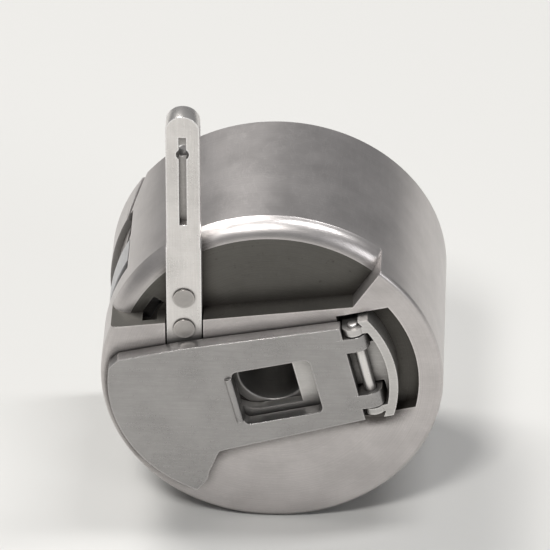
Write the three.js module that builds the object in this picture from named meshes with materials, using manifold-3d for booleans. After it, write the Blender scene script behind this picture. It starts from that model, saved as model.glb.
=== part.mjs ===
// Bobbin case, class 15 pattern, family sewing machine, with its latch closed and a wound bobbin inside.
//
// Millimetres. Everything is drawn in a face frame: x to the right, y up, z out of the front face, with the
// case axis on z and the open rim at z = 0. The last step turns it so the front looks along -Y and +Z is up.
// Latch pieces are drawn along u (slide direction) and v, then turned by LATCH_TILT about the case axis.
import * as THREE from 'three';
import { mergeVertices } from 'three/addons/utils/BufferGeometryUtils.js';
import Module from 'manifold-3d';

const wasm = await Module();
wasm.setup();

const DEG = Math.PI / 180;
const TURN = 2 * Math.PI;

// Cup
const CASE_RADIUS = 11.3;
const CASE_BORE = 10.45;
const FLOOR_INNER = 11.8;
const STEP_LEVEL = 12.4;
const FACE_LEVEL = 13.9;
const SHOULDER = 1.3;
const FACE_EDGE = 0.3;
const RIM_CHAMFER = 0.2;
const FLOOR_FILLET = 0.5;
const CUP_SEGMENTS = 84;
const STEP_LINE_HEIGHT = 5.3;
const STEP_LINE_SLOPE = 0.129;
const STEP_CORNER_X = 5.3;
const STEP_END = [7.6, 9.6];
const OUTSIDE = 15;

// How far a cutter runs past what it cuts
const PAST = 1;

// Latch frame and the channel the slide runs in
const LATCH_TILT = 13.5 * DEG;
const CHANNEL_LEVEL = 13.05;
const CHANNEL_HALF = 2.96;
const CHANNEL_LEFT = -9.6;
const POCKET_LEFT = 5.3;
const POCKET_HALF = 4.1;
const POCKET_RADIUS = 9.7;
const CAM_POCKET_LEVEL = 12.35;
const CAM_POCKET_LEFT = 5.8;
const CAM_POCKET_RIGHT = 7.4;
const CAM_POCKET_HALF = 0.65;
const SPRING_TRENCH_LEVEL = 12.8;
const SPRING_TRENCH_HALF = 0.62;
const SPRING_TRENCH_PAST = 0.1;

// Stud
const STUD_RADIUS = 2.85;
const STUD_BORE = 2.2;
const STUD_REAR = 0.3;
const STUD_FRONT = 13.02;
const STUD_SLOT_HALF = 1.3;
const STUD_SLOT_LEVEL = 10.0;
const STUD_LIP = 0.2;
const STUD_SEGMENTS = 48;
const SEAT_GAP = 0.02;

// Position finger and its rivets
const FINGER_LEFT = -6.85;
const FINGER_RIGHT = -4.65;
const FINGER_MIDDLE = (FINGER_LEFT + FINGER_RIGHT) / 2;
const FINGER_FOOT = 2.4;
const FINGER_TIP = 20.5;
const FINGER_BACK = 12.42;
const FINGER_FRONT = 13.75;
const FINGER_BEVEL = 0.12;
const FINGER_GAP = 0.1;
const FINGER_ROOT_EXTRA = 0.05;
const FINGER_GUIDE_FROM = 10.2;
const FINGER_GROOVE_HALF = 0.24;
const FINGER_GROOVE_DEPTH = 0.5;
const FINGER_GROOVE_FROM = 12.1;
const FINGER_GROOVE_TO = 18.9;
const FINGER_EYE_HEIGHT = 17.6;
const FINGER_EYE_RADIUS = 0.42;
const RIVET_HEIGHTS = { finger_rivet_lower: 3.95, finger_rivet_upper: 6.35 };
const RIVET_SHANK = 0.5;
const RIVET_HEAD = 0.72;
const RIVET_HEAD_TOP = 13.88;
const RIVET_CROWN = 0.03;
const RIVET_CROWN_RADIUS = 0.54;
const RIVET_TAIL = 0.78;
const RIVET_TAIL_DEPTH = 0.25;

// Thread tension spring, its seat in the wall and its two screws
const SEAT_RADIUS = 10.85;
const SEAT_FROM = 149 * DEG;
const SEAT_TO = 239 * DEG;
const SEAT_LOW = 2.9;
const SEAT_HIGH = 9.7;
const SPRING_INNER = 10.88;
const SPRING_OUTER = 11.16;
const SPRING_FROM = 151 * DEG;
const SPRING_TO = 237 * DEG;
const SPRING_LOW = 3.1;
const SPRING_HIGH = 9.5;
const SPRING_MIDDLE = 194 * DEG;
const LEAF_ROOT_TAPER = 0.9;
const LEAF_SHOULDER = -3.2;
const LEAF_WAIST_LOW = [1.6, 4.4];
const LEAF_WAIST_HIGH = [2.6, 5.0];
const LEAF_TIP_HALF = 1.2;
const LEAF_TIP_RISE = 0.7;
const LEAF_HOLE_GAP = 0.1;
const TENSION_SCREW_AT = 198 * DEG;
const SET_SCREW_AT = 225 * DEG;
const SCREW_LEVEL = 6.3;
const SCREW_SHANK = 0.58;
const SCREW_HEAD = 1.2;
const SCREW_HEAD_FROM = 11.18;
const SCREW_HEAD_TO = 11.6;
const SCREW_SLOT = 0.32;
const SCREW_SLOT_DEPTH = 0.24;
const TENSION_SLOT_TURN = 20;
const SET_SLOT_TURN = 75;
const SCREW_TIP = 10.5;
const SCREW_EDGE = 0.15;
const SCREW_EDGE_DEPTH = 0.1;
const HOLE_GAP = 0.04;

// Thread slit through the wall and the delivery opening beside the finger
const SLIT_WIDTH = 0.5;
const SLIT_FROM = [141 * DEG, -0.6];
const SLIT_TO = [163 * DEG, 6.3];
const DELIVERY_INNER = 8.7;
const DELIVERY_OUTER = 9.5;
const DELIVERY_FROM = 145 * DEG;
const DELIVERY_TO = 158 * DEG;

// Latch slide
const SLIDE_BACK = 13.1;
const SLIDE_FRONT = 13.75;
const SLIDE_HALF = 2.9;
const SLIDE_LEFT = -9.2;
const SLIDE_ROUND = 0.8;
const SLIDE_NECK_HALF = 1.6;
const SLIDE_NECK_FROM = 4.8;
const SLIDE_NECK_TO = 7.35;
const SLIDE_BORE = 2.2;
const SLIDE_BORE_LEFT = -1.05;
const SLIDE_SLOT_HALF = 0.75;
const SLIDE_SLOT_LEFT = -8.4;
const SLIDE_SLOT_RIGHT = -4.25;
const SHOE_HALF = 3.9;
const SHOE_LEFT = 7.25;
const SHOE_RADIUS = 8.35;
const SHOE_WALL = 0.58;
const SHOE_FRONT = 14.7;
const EAR_INNER = 2.95;
const EAR_OUTER = 3.45;
const EAR_RADIUS = 0.74;
const EAR_REACH = 1.0;
const EAR_SLOPE = 0.5;
const JAW_HALF = 1.05;
const JAW_NECK_FROM = 1.6;
const JAW_NECK_TO = 1.95;
const JAW_HEEL = 2.65;
const JAW_ROOM = 1.05;
const JAW_LOW = 10.3;
const JAW_HIGH = 11.0;

// Latch hinge, stop pin and return spring
const PIN_U = 6.3;
const PIN_LEVEL = 14.2;
const PIN_RADIUS = 0.38;
const PIN_HALF = 3.62;
const STOP_PIN_U = -4.85;
const STOP_PIN_RADIUS = 0.5;
const STOP_PIN_BACK = 12.3;
const STOP_PIN_FRONT = 13.85;
const COIL_RADIUS = 0.44;
const COIL_WIRE = 0.1;
const COIL_LEVEL = 13.4;
const COIL_FROM = -8.28;
const COIL_TO = -5.47;
const COIL_TURNS = 7;

// Latch lever
const LEVER_BACK = 14.0;
const LEVER_FRONT = 14.9;
const LEVER_END = 5.5;
const LEVER_END_HALF = 3.75;
const LEVER_NECK = -5.0;
const LEVER_NECK_HALF = 4.3;
const TAB_CENTRE = [-1.4, 0.5];
const TAB_RADIUS = 9.3;
const TAB_TOP_LEAD = 0.5;
const TAB_TOP_TURN = 3 * DEG;
const TAB_LOW = [-6.4, -6.55];
const TAB_LOW_BEND = [0.5, -0.1];
const TAB_LOW_RISE = [0.75, 0.7];
const TAB_CROOK = [0.2, 0.3];
const TAB_CROOK_END = 0.8;
const WINDOW = { left: -2.35, right: 2.95, low: -2.55, high: 1.75, round: 0.4 };
const LIP_WIDTH = 0.5;
const LIP_HEIGHT = 0.25;
const LIP_ROOT = 0.3;
const LUG_INNER = 1.75;
const LUG_OUTER = 2.85;
const LUG_RADIUS = 0.78;
const LUG_ROOT = 4.9;
const LUG_HEEL = { angle: 225 * DEG, radius: LUG_RADIUS };
const CAM_FLANK = { angle: 275 * DEG, radius: 1.3 };
const CAM_TOE = { angle: 299 * DEG, radius: 1.72 };
const LEVER_BEVEL = 0.12;

// Bobbin
const BOBBIN_RADIUS = 10.15;
const BOBBIN_BORE = 3.05;
const FRONT_FLANGE = [11.2, 11.65];
const REAR_FLANGE = [0.25, 0.7];
const FLANGE_EDGE = 0.12;
const FLANGE_HOLES = 6;
const FLANGE_HOLE_RADIUS = 0.9;
const FLANGE_HOLE_AT = 6.6;
const CORE_INNER = 4.1;
const CORE_OUTER = 4.6;
const THREAD_INNER = 4.65;
const THREAD_OUTER = 8.8;
const THREAD_ROUND = 0.5;
const PART_GAP = 0.03;

// ---------------------------------------------------------------- solids

function meshArrays(geometry) {
  const bare = new THREE.BufferGeometry();
  bare.setAttribute('position', geometry.getAttribute('position').clone());
  if (geometry.index) {
    bare.setIndex(geometry.index.clone());
  }
  const merged = mergeVertices(bare, 1e-5);
  const corners = merged.index.array;
  const kept = [];
  for (let i = 0; i < corners.length; i += 3) {
    const [a, b, c] = [corners[i], corners[i + 1], corners[i + 2]];
    if (a !== b && b !== c && c !== a) {
      kept.push(a, b, c);
    }
  }
  return { points: merged.getAttribute('position').array, kept };
}

function signedVolume(points, kept) {
  const corner = (i) => new THREE.Vector3().fromArray(points, 3 * kept[i]);
  let sum = 0;
  for (let i = 0; i < kept.length; i += 3) {
    sum += corner(i).dot(corner(i + 1).cross(corner(i + 2)));
  }
  return sum / 6;
}

function solid(geometry) {
  const { points, kept } = meshArrays(geometry);
  if (signedVolume(points, kept) < 0) {
    for (let i = 0; i < kept.length; i += 3) {
      [kept[i], kept[i + 1]] = [kept[i + 1], kept[i]];
    }
  }
  return new wasm.Manifold(new wasm.Mesh({
    numProp: 3,
    vertProperties: Float32Array.from(points),
    triVerts: Uint32Array.from(kept),
  }));
}

function shapeFrom(corners) {
  return new THREE.Shape(corners.map(([x, y]) => new THREE.Vector2(x, y)));
}

function slab(shape, low, high, curveSegments = 24) {
  const settings = { depth: high - low, bevelEnabled: false, curveSegments };
  const geometry = new THREE.ExtrudeGeometry(shape, settings);
  return solid(geometry.translate(0, 0, low));
}

function bevelledSlab(shape, low, high, bevel, curveSegments = 24) {
  const geometry = new THREE.ExtrudeGeometry(shape, {
    depth: high - low - 2 * bevel,
    bevelEnabled: true,
    bevelThickness: bevel,
    bevelSize: bevel,
    bevelOffset: -bevel,
    bevelSegments: 1,
    curveSegments,
  });
  return solid(geometry.translate(0, 0, low + bevel));
}

function block(left, right, bottom, top, low, high) {
  const geometry = new THREE.BoxGeometry(right - left, top - bottom, high - low);
  return solid(geometry.translate((left + right) / 2, (bottom + top) / 2, (low + high) / 2));
}

function turned(profile, segments) {
  const points = profile.map(([radius, level]) => new THREE.Vector2(radius, level));
  return solid(new THREE.LatheGeometry(points, segments).rotateX(90 * DEG));
}

function rod(x, y, radius, low, high, segments = 24) {
  const geometry = new THREE.CylinderGeometry(radius, radius, high - low, segments);
  return solid(geometry.rotateX(90 * DEG).translate(x, y, (low + high) / 2));
}

function sector(inner, outer, from, to, low, high, curveSegments) {
  const shape = new THREE.Shape();
  shape.absarc(0, 0, outer, from, to, false);
  shape.absarc(0, 0, inner, to, from, true);
  shape.closePath();
  return slab(shape, low, high, curveSegments);
}

function arcProfile(centreRadius, centreLevel, radius, from, to, steps) {
  const points = [];
  for (let i = 0; i <= steps; i += 1) {
    const angle = from + ((to - from) * i) / steps;
    points.push([centreRadius + radius * Math.cos(angle), centreLevel + radius * Math.sin(angle)]);
  }
  return points;
}

// Turns a piece drawn with its length along z so that it points out from the axis at the given angle.
function radial(piece, angle, level) {
  return piece.rotate([0, 90, 0]).rotate([0, 0, angle / DEG]).translate([0, 0, level]);
}

// Moves a piece drawn in the latch frame to its place on the face.
function tilted(piece) {
  return piece.rotate([0, 0, LATCH_TILT / DEG]);
}

// Turns an outline drawn in (u, level) into a plate standing across the slide from v = low to v = high.
function uprightPlate(shape, low, high, curveSegments = 12) {
  return slab(shape, -high, -low, curveSegments).rotate([90, 0, 0]);
}

// ---------------------------------------------------------------- case body

function cupBlank() {
  return turned([
    [0, FLOOR_INNER],
    ...arcProfile(CASE_BORE - FLOOR_FILLET, FLOOR_INNER - FLOOR_FILLET, FLOOR_FILLET, 90 * DEG, 0, 3),
    [CASE_BORE, RIM_CHAMFER],
    [CASE_BORE + RIM_CHAMFER, 0],
    [CASE_RADIUS - RIM_CHAMFER, 0],
    [CASE_RADIUS, RIM_CHAMFER],
    ...arcProfile(CASE_RADIUS - FACE_EDGE, FACE_LEVEL - FACE_EDGE, FACE_EDGE, 0, 90 * DEG, 3),
    [0, FACE_LEVEL],
  ], CUP_SEGMENTS);
}

function stepRegion(low, high) {
  const lineAt = (x) => STEP_LINE_HEIGHT + STEP_LINE_SLOPE * x;
  return slab(shapeFrom([
    [-OUTSIDE, lineAt(-OUTSIDE)],
    [STEP_CORNER_X, lineAt(STEP_CORNER_X)],
    STEP_END,
    [STEP_END[0] + 2, OUTSIDE],
    [-OUTSIDE, OUTSIDE],
  ]), low, high);
}

// Everything above the lowered upper segment, including the rounding of its shoulder.
function stepCutter() {
  const core = turned([
    [0, STEP_LEVEL - 3 * SHOULDER],
    [CASE_RADIUS + PAST, STEP_LEVEL - 3 * SHOULDER],
    [CASE_RADIUS + PAST, STEP_LEVEL - SHOULDER],
    ...arcProfile(CASE_RADIUS - SHOULDER, STEP_LEVEL - SHOULDER, SHOULDER, 6 * DEG, 90 * DEG, 6),
    [0, STEP_LEVEL],
  ], CUP_SEGMENTS);
  return stepRegion(STEP_LEVEL - 2 * SHOULDER, FACE_LEVEL + PAST).subtract(core);
}

function pocketShape() {
  const corner = Math.asin(POCKET_HALF / POCKET_RADIUS);
  const shape = new THREE.Shape();
  shape.moveTo(POCKET_LEFT, POCKET_HALF);
  shape.lineTo(POCKET_LEFT, -POCKET_HALF);
  shape.absarc(0, 0, POCKET_RADIUS, -corner, corner, false);
  shape.closePath();
  return shape;
}

function channelCutter() {
  const top = FACE_LEVEL + 1;
  const camPocket = (side) => {
    const middle = (side * (LUG_INNER + LUG_OUTER)) / 2;
    return block(
      CAM_POCKET_LEFT, CAM_POCKET_RIGHT, middle - CAM_POCKET_HALF, middle + CAM_POCKET_HALF,
      CAM_POCKET_LEVEL, top,
    );
  };
  return tilted(
    block(CHANNEL_LEFT, POCKET_LEFT + PAST, -CHANNEL_HALF, CHANNEL_HALF, CHANNEL_LEVEL, top)
      .add(slab(pocketShape(), CHANNEL_LEVEL, top))
      .add(camPocket(-1))
      .add(camPocket(1))
      .add(block(
        SLIDE_SLOT_LEFT - SPRING_TRENCH_PAST, STOP_PIN_U, -SPRING_TRENCH_HALF, SPRING_TRENCH_HALF,
        SPRING_TRENCH_LEVEL, top,
      ))
      .add(block(
        JAW_NECK_FROM, JAW_NECK_TO + JAW_ROOM, -STUD_SLOT_HALF, STUD_SLOT_HALF, FLOOR_INNER - PAST, top,
      ))
      .add(rod(STOP_PIN_U, 0, STOP_PIN_RADIUS + SEAT_GAP, STOP_PIN_BACK - SEAT_GAP, top)),
  );
}

function fingerSeatCutter() {
  let cutter = block(
    FINGER_LEFT - FINGER_ROOT_EXTRA - FINGER_GAP, FINGER_RIGHT + FINGER_ROOT_EXTRA + FINGER_GAP,
    FINGER_FOOT - FINGER_GAP, CASE_RADIUS, STEP_LEVEL, FACE_LEVEL + PAST,
  );
  for (const height of Object.values(RIVET_HEIGHTS)) {
    cutter = cutter
      .add(rod(FINGER_MIDDLE, height, RIVET_SHANK + SEAT_GAP, FLOOR_INNER - PAST, STEP_LEVEL + PAST))
      .add(rod(
        FINGER_MIDDLE, height, RIVET_TAIL + SEAT_GAP, FLOOR_INNER - PAST, FLOOR_INNER + RIVET_TAIL_DEPTH,
      ));
  }
  return cutter;
}

function slitCutter() {
  const across = (SLIT_TO[0] - SLIT_FROM[0]) * CASE_RADIUS;
  const along = SLIT_TO[1] - SLIT_FROM[1];
  const length = Math.hypot(across, along);
  const lean = Math.atan2(across, along);
  const slot = block(
    -length / 2, length / 2, -SLIT_WIDTH / 2, SLIT_WIDTH / 2, CASE_BORE - PAST, CASE_RADIUS + PAST,
  );
  const middle = [(SLIT_FROM[0] + SLIT_TO[0]) / 2, (SLIT_FROM[1] + SLIT_TO[1]) / 2];
  return radial(slot.rotate([0, 0, 180 - lean / DEG]), ...middle);
}

function wallHole(angle, gap) {
  return radial(rod(0, 0, SCREW_SHANK + gap, CASE_BORE - PAST, CASE_RADIUS + PAST), angle, SCREW_LEVEL);
}

function caseBody() {
  return cupBlank()
    .subtract(stepCutter())
    .subtract(channelCutter())
    .subtract(fingerSeatCutter())
    .subtract(rod(0, 0, STUD_RADIUS + SEAT_GAP, FLOOR_INNER - PAST, FACE_LEVEL + PAST, STUD_SEGMENTS))
    .subtract(sector(SEAT_RADIUS, CASE_RADIUS + PAST, SEAT_FROM, SEAT_TO, SEAT_LOW, SEAT_HIGH, 24))
    .subtract(wallHole(TENSION_SCREW_AT, HOLE_GAP))
    .subtract(wallHole(SET_SCREW_AT, HOLE_GAP))
    .subtract(slitCutter())
    .subtract(sector(
      DELIVERY_INNER, DELIVERY_OUTER, DELIVERY_FROM, DELIVERY_TO, FLOOR_INNER - PAST, STEP_LEVEL + PAST, 6,
    ));
}

// ---------------------------------------------------------------- stud, finger, rivets

function studTube() {
  const tube = turned([
    [STUD_BORE + STUD_LIP, STUD_REAR],
    [STUD_RADIUS - STUD_LIP, STUD_REAR],
    [STUD_RADIUS, STUD_REAR + STUD_LIP],
    [STUD_RADIUS, STUD_FRONT],
    [STUD_BORE, STUD_FRONT],
    [STUD_BORE, STUD_REAR + STUD_LIP],
    [STUD_BORE + STUD_LIP, STUD_REAR],
  ], STUD_SEGMENTS);
  return tube.subtract(tilted(block(
    0, STUD_RADIUS + PAST, -STUD_SLOT_HALF, STUD_SLOT_HALF, STUD_SLOT_LEVEL, STUD_FRONT + PAST,
  )));
}

// The guide is the part that runs in the notch of the hook race, ground a little narrower than the root.
function fingerOutline() {
  const half = (FINGER_RIGHT - FINGER_LEFT) / 2;
  const outline = new THREE.Shape();
  outline.moveTo(FINGER_LEFT, FINGER_GUIDE_FROM);
  outline.lineTo(FINGER_LEFT - FINGER_ROOT_EXTRA, FINGER_GUIDE_FROM);
  outline.lineTo(FINGER_LEFT - FINGER_ROOT_EXTRA, FINGER_FOOT);
  outline.lineTo(FINGER_RIGHT + FINGER_ROOT_EXTRA, FINGER_FOOT);
  outline.lineTo(FINGER_RIGHT + FINGER_ROOT_EXTRA, FINGER_GUIDE_FROM);
  outline.lineTo(FINGER_RIGHT, FINGER_GUIDE_FROM);
  outline.absarc(FINGER_MIDDLE, FINGER_TIP - half, half, 0, 180 * DEG, false);
  outline.closePath();
  return outline;
}

function positionFinger() {
  let bar = bevelledSlab(fingerOutline(), FINGER_BACK, FINGER_FRONT, FINGER_BEVEL, 12)
    .subtract(block(
      FINGER_MIDDLE - FINGER_GROOVE_HALF, FINGER_MIDDLE + FINGER_GROOVE_HALF,
      FINGER_GROOVE_FROM, FINGER_GROOVE_TO, FINGER_FRONT - FINGER_GROOVE_DEPTH, FINGER_FRONT + PAST,
    ))
    .subtract(rod(
      FINGER_MIDDLE, FINGER_EYE_HEIGHT, FINGER_EYE_RADIUS, FINGER_BACK - PAST, FINGER_FRONT + PAST, 16,
    ));
  for (const height of Object.values(RIVET_HEIGHTS)) {
    bar = bar.subtract(rod(
      FINGER_MIDDLE, height, RIVET_SHANK + SEAT_GAP, FINGER_BACK - PAST, FINGER_FRONT + PAST,
    ));
  }
  return bar;
}

function fingerRivet(height) {
  const head = FINGER_FRONT + SEAT_GAP;
  return turned([
    [0, FLOOR_INNER + SEAT_GAP],
    [RIVET_TAIL, FLOOR_INNER + SEAT_GAP],
    [RIVET_TAIL, FLOOR_INNER + RIVET_TAIL_DEPTH - SEAT_GAP],
    [RIVET_SHANK, FLOOR_INNER + RIVET_TAIL_DEPTH - SEAT_GAP],
    [RIVET_SHANK, head],
    [RIVET_HEAD, head],
    [RIVET_CROWN_RADIUS, RIVET_HEAD_TOP - RIVET_CROWN],
    [0, RIVET_HEAD_TOP],
  ], 24).translate([FINGER_MIDDLE, height, 0]);
}

// ---------------------------------------------------------------- thread tension

// Outline of the leaf seen square to its middle: wide at the fixed end, waisted, then a narrow tip.
function leafOutline() {
  const level = (SPRING_LOW + SPRING_HIGH) / 2;
  const half = (SPRING_HIGH - SPRING_LOW) / 2;
  const reach = SPRING_OUTER + PAST;
  const tipLow = level + LEAF_TIP_RISE - LEAF_TIP_HALF;
  const tipHigh = level + LEAF_TIP_RISE + LEAF_TIP_HALF;
  return shapeFrom([
    [-reach, level - half + LEAF_ROOT_TAPER],
    [LEAF_SHOULDER, level - half],
    [LEAF_WAIST_LOW[0], level - half],
    [LEAF_WAIST_LOW[1], tipLow],
    [reach, tipLow],
    [reach, tipHigh],
    [LEAF_WAIST_HIGH[1], tipHigh],
    [LEAF_WAIST_HIGH[0], level + half],
    [LEAF_SHOULDER, level + half],
    [-reach, level + half - LEAF_ROOT_TAPER],
  ]);
}

function tensionSpring() {
  const leaf = sector(SPRING_INNER, SPRING_OUTER, SPRING_FROM, SPRING_TO, SPRING_LOW, SPRING_HIGH, 32);
  // Drawn with x along the wall and y along the axis, thickness outward, then stood against the wall.
  const mask = slab(leafOutline(), -SPRING_OUTER - PAST, 0)
    .rotate([90, 0, 0])
    .rotate([0, 0, SPRING_MIDDLE / DEG - 90]);
  return leaf
    .intersect(mask)
    .subtract(wallHole(TENSION_SCREW_AT, LEAF_HOLE_GAP))
    .subtract(wallHole(SET_SCREW_AT, HOLE_GAP));
}

function wallScrew(angle, slotTurn) {
  const screw = turned([
    [0, SCREW_TIP],
    [SCREW_SHANK, SCREW_TIP],
    [SCREW_SHANK, SCREW_HEAD_FROM],
    [SCREW_HEAD, SCREW_HEAD_FROM],
    [SCREW_HEAD, SCREW_HEAD_TO - SCREW_EDGE_DEPTH],
    [SCREW_HEAD - SCREW_EDGE, SCREW_HEAD_TO],
    [0, SCREW_HEAD_TO],
  ], 32).subtract(block(
    -SCREW_HEAD - PAST, SCREW_HEAD + PAST, -SCREW_SLOT / 2, SCREW_SLOT / 2,
    SCREW_HEAD_TO - SCREW_SLOT_DEPTH, SCREW_HEAD_TO + PAST,
  ));
  return radial(screw.rotate([0, 0, slotTurn]), angle, SCREW_LEVEL);
}

// ---------------------------------------------------------------- latch slide, pins and spring

function slidePlate() {
  const shape = new THREE.Shape();
  shape.moveTo(SLIDE_LEFT + SLIDE_ROUND, -SLIDE_HALF);
  shape.lineTo(SLIDE_NECK_FROM, -SLIDE_HALF);
  shape.lineTo(SLIDE_NECK_FROM, -SLIDE_NECK_HALF);
  shape.lineTo(SLIDE_NECK_TO, -SLIDE_NECK_HALF);
  shape.lineTo(SLIDE_NECK_TO, SLIDE_NECK_HALF);
  shape.lineTo(SLIDE_NECK_FROM, SLIDE_NECK_HALF);
  shape.lineTo(SLIDE_NECK_FROM, SLIDE_HALF);
  shape.lineTo(SLIDE_LEFT + SLIDE_ROUND, SLIDE_HALF);
  shape.absarc(SLIDE_LEFT + SLIDE_ROUND, SLIDE_HALF - SLIDE_ROUND, SLIDE_ROUND, 90 * DEG, 180 * DEG, false);
  shape.absarc(SLIDE_LEFT + SLIDE_ROUND, -SLIDE_HALF + SLIDE_ROUND, SLIDE_ROUND, 180 * DEG, 270 * DEG, false);
  shape.closePath();
  return slab(shape, SLIDE_BACK, SLIDE_FRONT, 6);
}

function shoeShape(innerRadius) {
  const outerCorner = Math.asin(SHOE_HALF / SHOE_RADIUS);
  const shape = new THREE.Shape();
  shape.absarc(0, 0, SHOE_RADIUS, -outerCorner, outerCorner, false);
  if (innerRadius > 0) {
    const innerCorner = Math.asin(SHOE_HALF / innerRadius);
    shape.absarc(0, 0, innerRadius, innerCorner, -innerCorner, true);
  } else {
    shape.lineTo(SHOE_LEFT, SHOE_HALF);
    shape.lineTo(SHOE_LEFT, -SHOE_HALF);
  }
  shape.closePath();
  return shape;
}

function slideEar(side) {
  const outline = new THREE.Shape();
  outline.moveTo(PIN_U - EAR_RADIUS, SLIDE_BACK);
  outline.lineTo(PIN_U + EAR_REACH, SLIDE_BACK);
  outline.lineTo(PIN_U + EAR_REACH, SHOE_FRONT);
  outline.lineTo(PIN_U + EAR_SLOPE, SHOE_FRONT);
  outline.absarc(PIN_U, PIN_LEVEL, EAR_RADIUS, 45 * DEG, 180 * DEG, false);
  outline.closePath();
  const low = side > 0 ? EAR_INNER : -EAR_OUTER;
  return uprightPlate(outline, low, low + EAR_OUTER - EAR_INNER);
}

function slideJaw() {
  return block(JAW_NECK_FROM, JAW_NECK_TO, -JAW_HALF, JAW_HALF, JAW_LOW, SLIDE_FRONT)
    .add(block(JAW_NECK_FROM, JAW_HEEL, -JAW_HALF, JAW_HALF, JAW_LOW, JAW_HIGH));
}

function stopPin() {
  return rod(STOP_PIN_U, 0, STOP_PIN_RADIUS, STOP_PIN_BACK, STOP_PIN_FRONT);
}

function crossPin(radius, half) {
  const geometry = new THREE.CylinderGeometry(radius, radius, 2 * half, 24);
  return solid(geometry.translate(PIN_U, 0, PIN_LEVEL));
}

function latchSlide() {
  const low = SLIDE_BACK - PAST;
  const high = SLIDE_FRONT + PAST;
  const boreHole = rod(SLIDE_BORE_LEFT, 0, SLIDE_BORE, low, high, 32)
    .add(block(SLIDE_BORE_LEFT, JAW_NECK_FROM, -SLIDE_BORE, SLIDE_BORE, low, high));
  return slidePlate()
    .add(slab(shoeShape(0), SLIDE_BACK, SLIDE_FRONT))
    .add(slab(shoeShape(SHOE_RADIUS - SHOE_WALL), SLIDE_BACK, SHOE_FRONT))
    .add(slideEar(-1))
    .add(slideEar(1))
    .subtract(boreHole)
    .subtract(block(SLIDE_SLOT_LEFT, SLIDE_SLOT_RIGHT, -SLIDE_SLOT_HALF, SLIDE_SLOT_HALF, low, high))
    .add(slideJaw())
    .subtract(crossPin(PIN_RADIUS + SEAT_GAP, PIN_HALF + PAST));
}

function latchSpring() {
  class Helix extends THREE.Curve {
    getPoint(t, target = new THREE.Vector3()) {
      const angle = TURN * COIL_TURNS * t;
      return target.set(
        COIL_FROM + (COIL_TO - COIL_FROM) * t,
        COIL_RADIUS * Math.cos(angle),
        COIL_LEVEL + COIL_RADIUS * Math.sin(angle),
      );
    }
  }
  const wire = new THREE.Shape();
  wire.absarc(0, 0, COIL_WIRE, 0, TURN, false);
  return solid(new THREE.ExtrudeGeometry(wire, {
    steps: COIL_TURNS * 12,
    curveSegments: 3,
    bevelEnabled: false,
    extrudePath: new Helix(),
  }));
}

// ---------------------------------------------------------------- latch lever

function leverOutline() {
  const taper = (LEVER_NECK_HALF - LEVER_END_HALF) / (LEVER_END - LEVER_NECK);
  const halfAt = (u) => LEVER_END_HALF + taper * (LEVER_END - u);
  const [cu, cv] = TAB_CENTRE;
  const topAngle = 180 * DEG - Math.asin((halfAt(LEVER_NECK) - cv) / TAB_RADIUS);
  const lowAngle = Math.atan2(TAB_LOW[1] - cv, TAB_LOW[0] - cu) + TURN;
  const shape = new THREE.Shape();
  shape.moveTo(LEVER_END, -LEVER_END_HALF);
  shape.lineTo(LEVER_END, LEVER_END_HALF);
  shape.lineTo(LEVER_NECK, halfAt(LEVER_NECK));
  shape.lineTo(cu + TAB_RADIUS * Math.cos(topAngle) + TAB_TOP_LEAD, halfAt(LEVER_NECK));
  shape.absarc(cu, cv, TAB_RADIUS, topAngle + TAB_TOP_TURN, lowAngle, false);
  shape.quadraticCurveTo(
    TAB_LOW[0] + TAB_LOW_BEND[0], TAB_LOW[1] + TAB_LOW_BEND[1],
    TAB_LOW[0] + TAB_LOW_RISE[0], TAB_LOW[1] + TAB_LOW_RISE[1],
  );
  shape.lineTo(LEVER_NECK + TAB_CROOK[0], -halfAt(LEVER_NECK) - TAB_CROOK[1]);
  shape.lineTo(LEVER_NECK + TAB_CROOK_END, -halfAt(LEVER_NECK + TAB_CROOK_END));
  shape.closePath();
  return shape;
}

function windowShape() {
  const { left, right, low, high, round } = WINDOW;
  const shape = new THREE.Shape();
  shape.moveTo(left + round, low);
  shape.absarc(right - round, low + round, round, -90 * DEG, 0, false);
  shape.absarc(right - round, high - round, round, 0, 90 * DEG, false);
  shape.absarc(left + round, high - round, round, 90 * DEG, 180 * DEG, false);
  shape.absarc(left + round, low + round, round, 180 * DEG, 270 * DEG, false);
  shape.closePath();
  return shape;
}

// A lug reaches past the plate to the hinge pin; its toe hangs into the case and drives the slide out.
function leverLug(side) {
  const outline = new THREE.Shape();
  outline.moveTo(LUG_ROOT, LEVER_BACK);
  outline.lineTo(PIN_U - LUG_RADIUS, LEVER_BACK);
  for (const { angle, radius } of [LUG_HEEL, CAM_FLANK, CAM_TOE]) {
    outline.lineTo(PIN_U + radius * Math.cos(angle), PIN_LEVEL + radius * Math.sin(angle));
  }
  outline.absarc(PIN_U, PIN_LEVEL, LUG_RADIUS, 0, 90 * DEG, false);
  outline.lineTo(LUG_ROOT, LEVER_FRONT);
  outline.closePath();
  const low = side > 0 ? LUG_INNER : -LUG_OUTER;
  return uprightPlate(outline, low, low + LUG_OUTER - LUG_INNER);
}

function latchLever() {
  const { left, low, high, round } = WINDOW;
  return bevelledSlab(leverOutline(), LEVER_BACK, LEVER_FRONT, LEVER_BEVEL, 16)
    .add(block(
      left - LIP_WIDTH, left, low + round, high - round, LEVER_BACK + LIP_ROOT, LEVER_FRONT + LIP_HEIGHT,
    ))
    .add(leverLug(-1))
    .add(leverLug(1))
    .subtract(slab(windowShape(), LEVER_BACK - PAST, LEVER_FRONT + PAST, 5))
    .subtract(crossPin(PIN_RADIUS + HOLE_GAP, PIN_HALF + PAST));
}

// ---------------------------------------------------------------- bobbin

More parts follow.
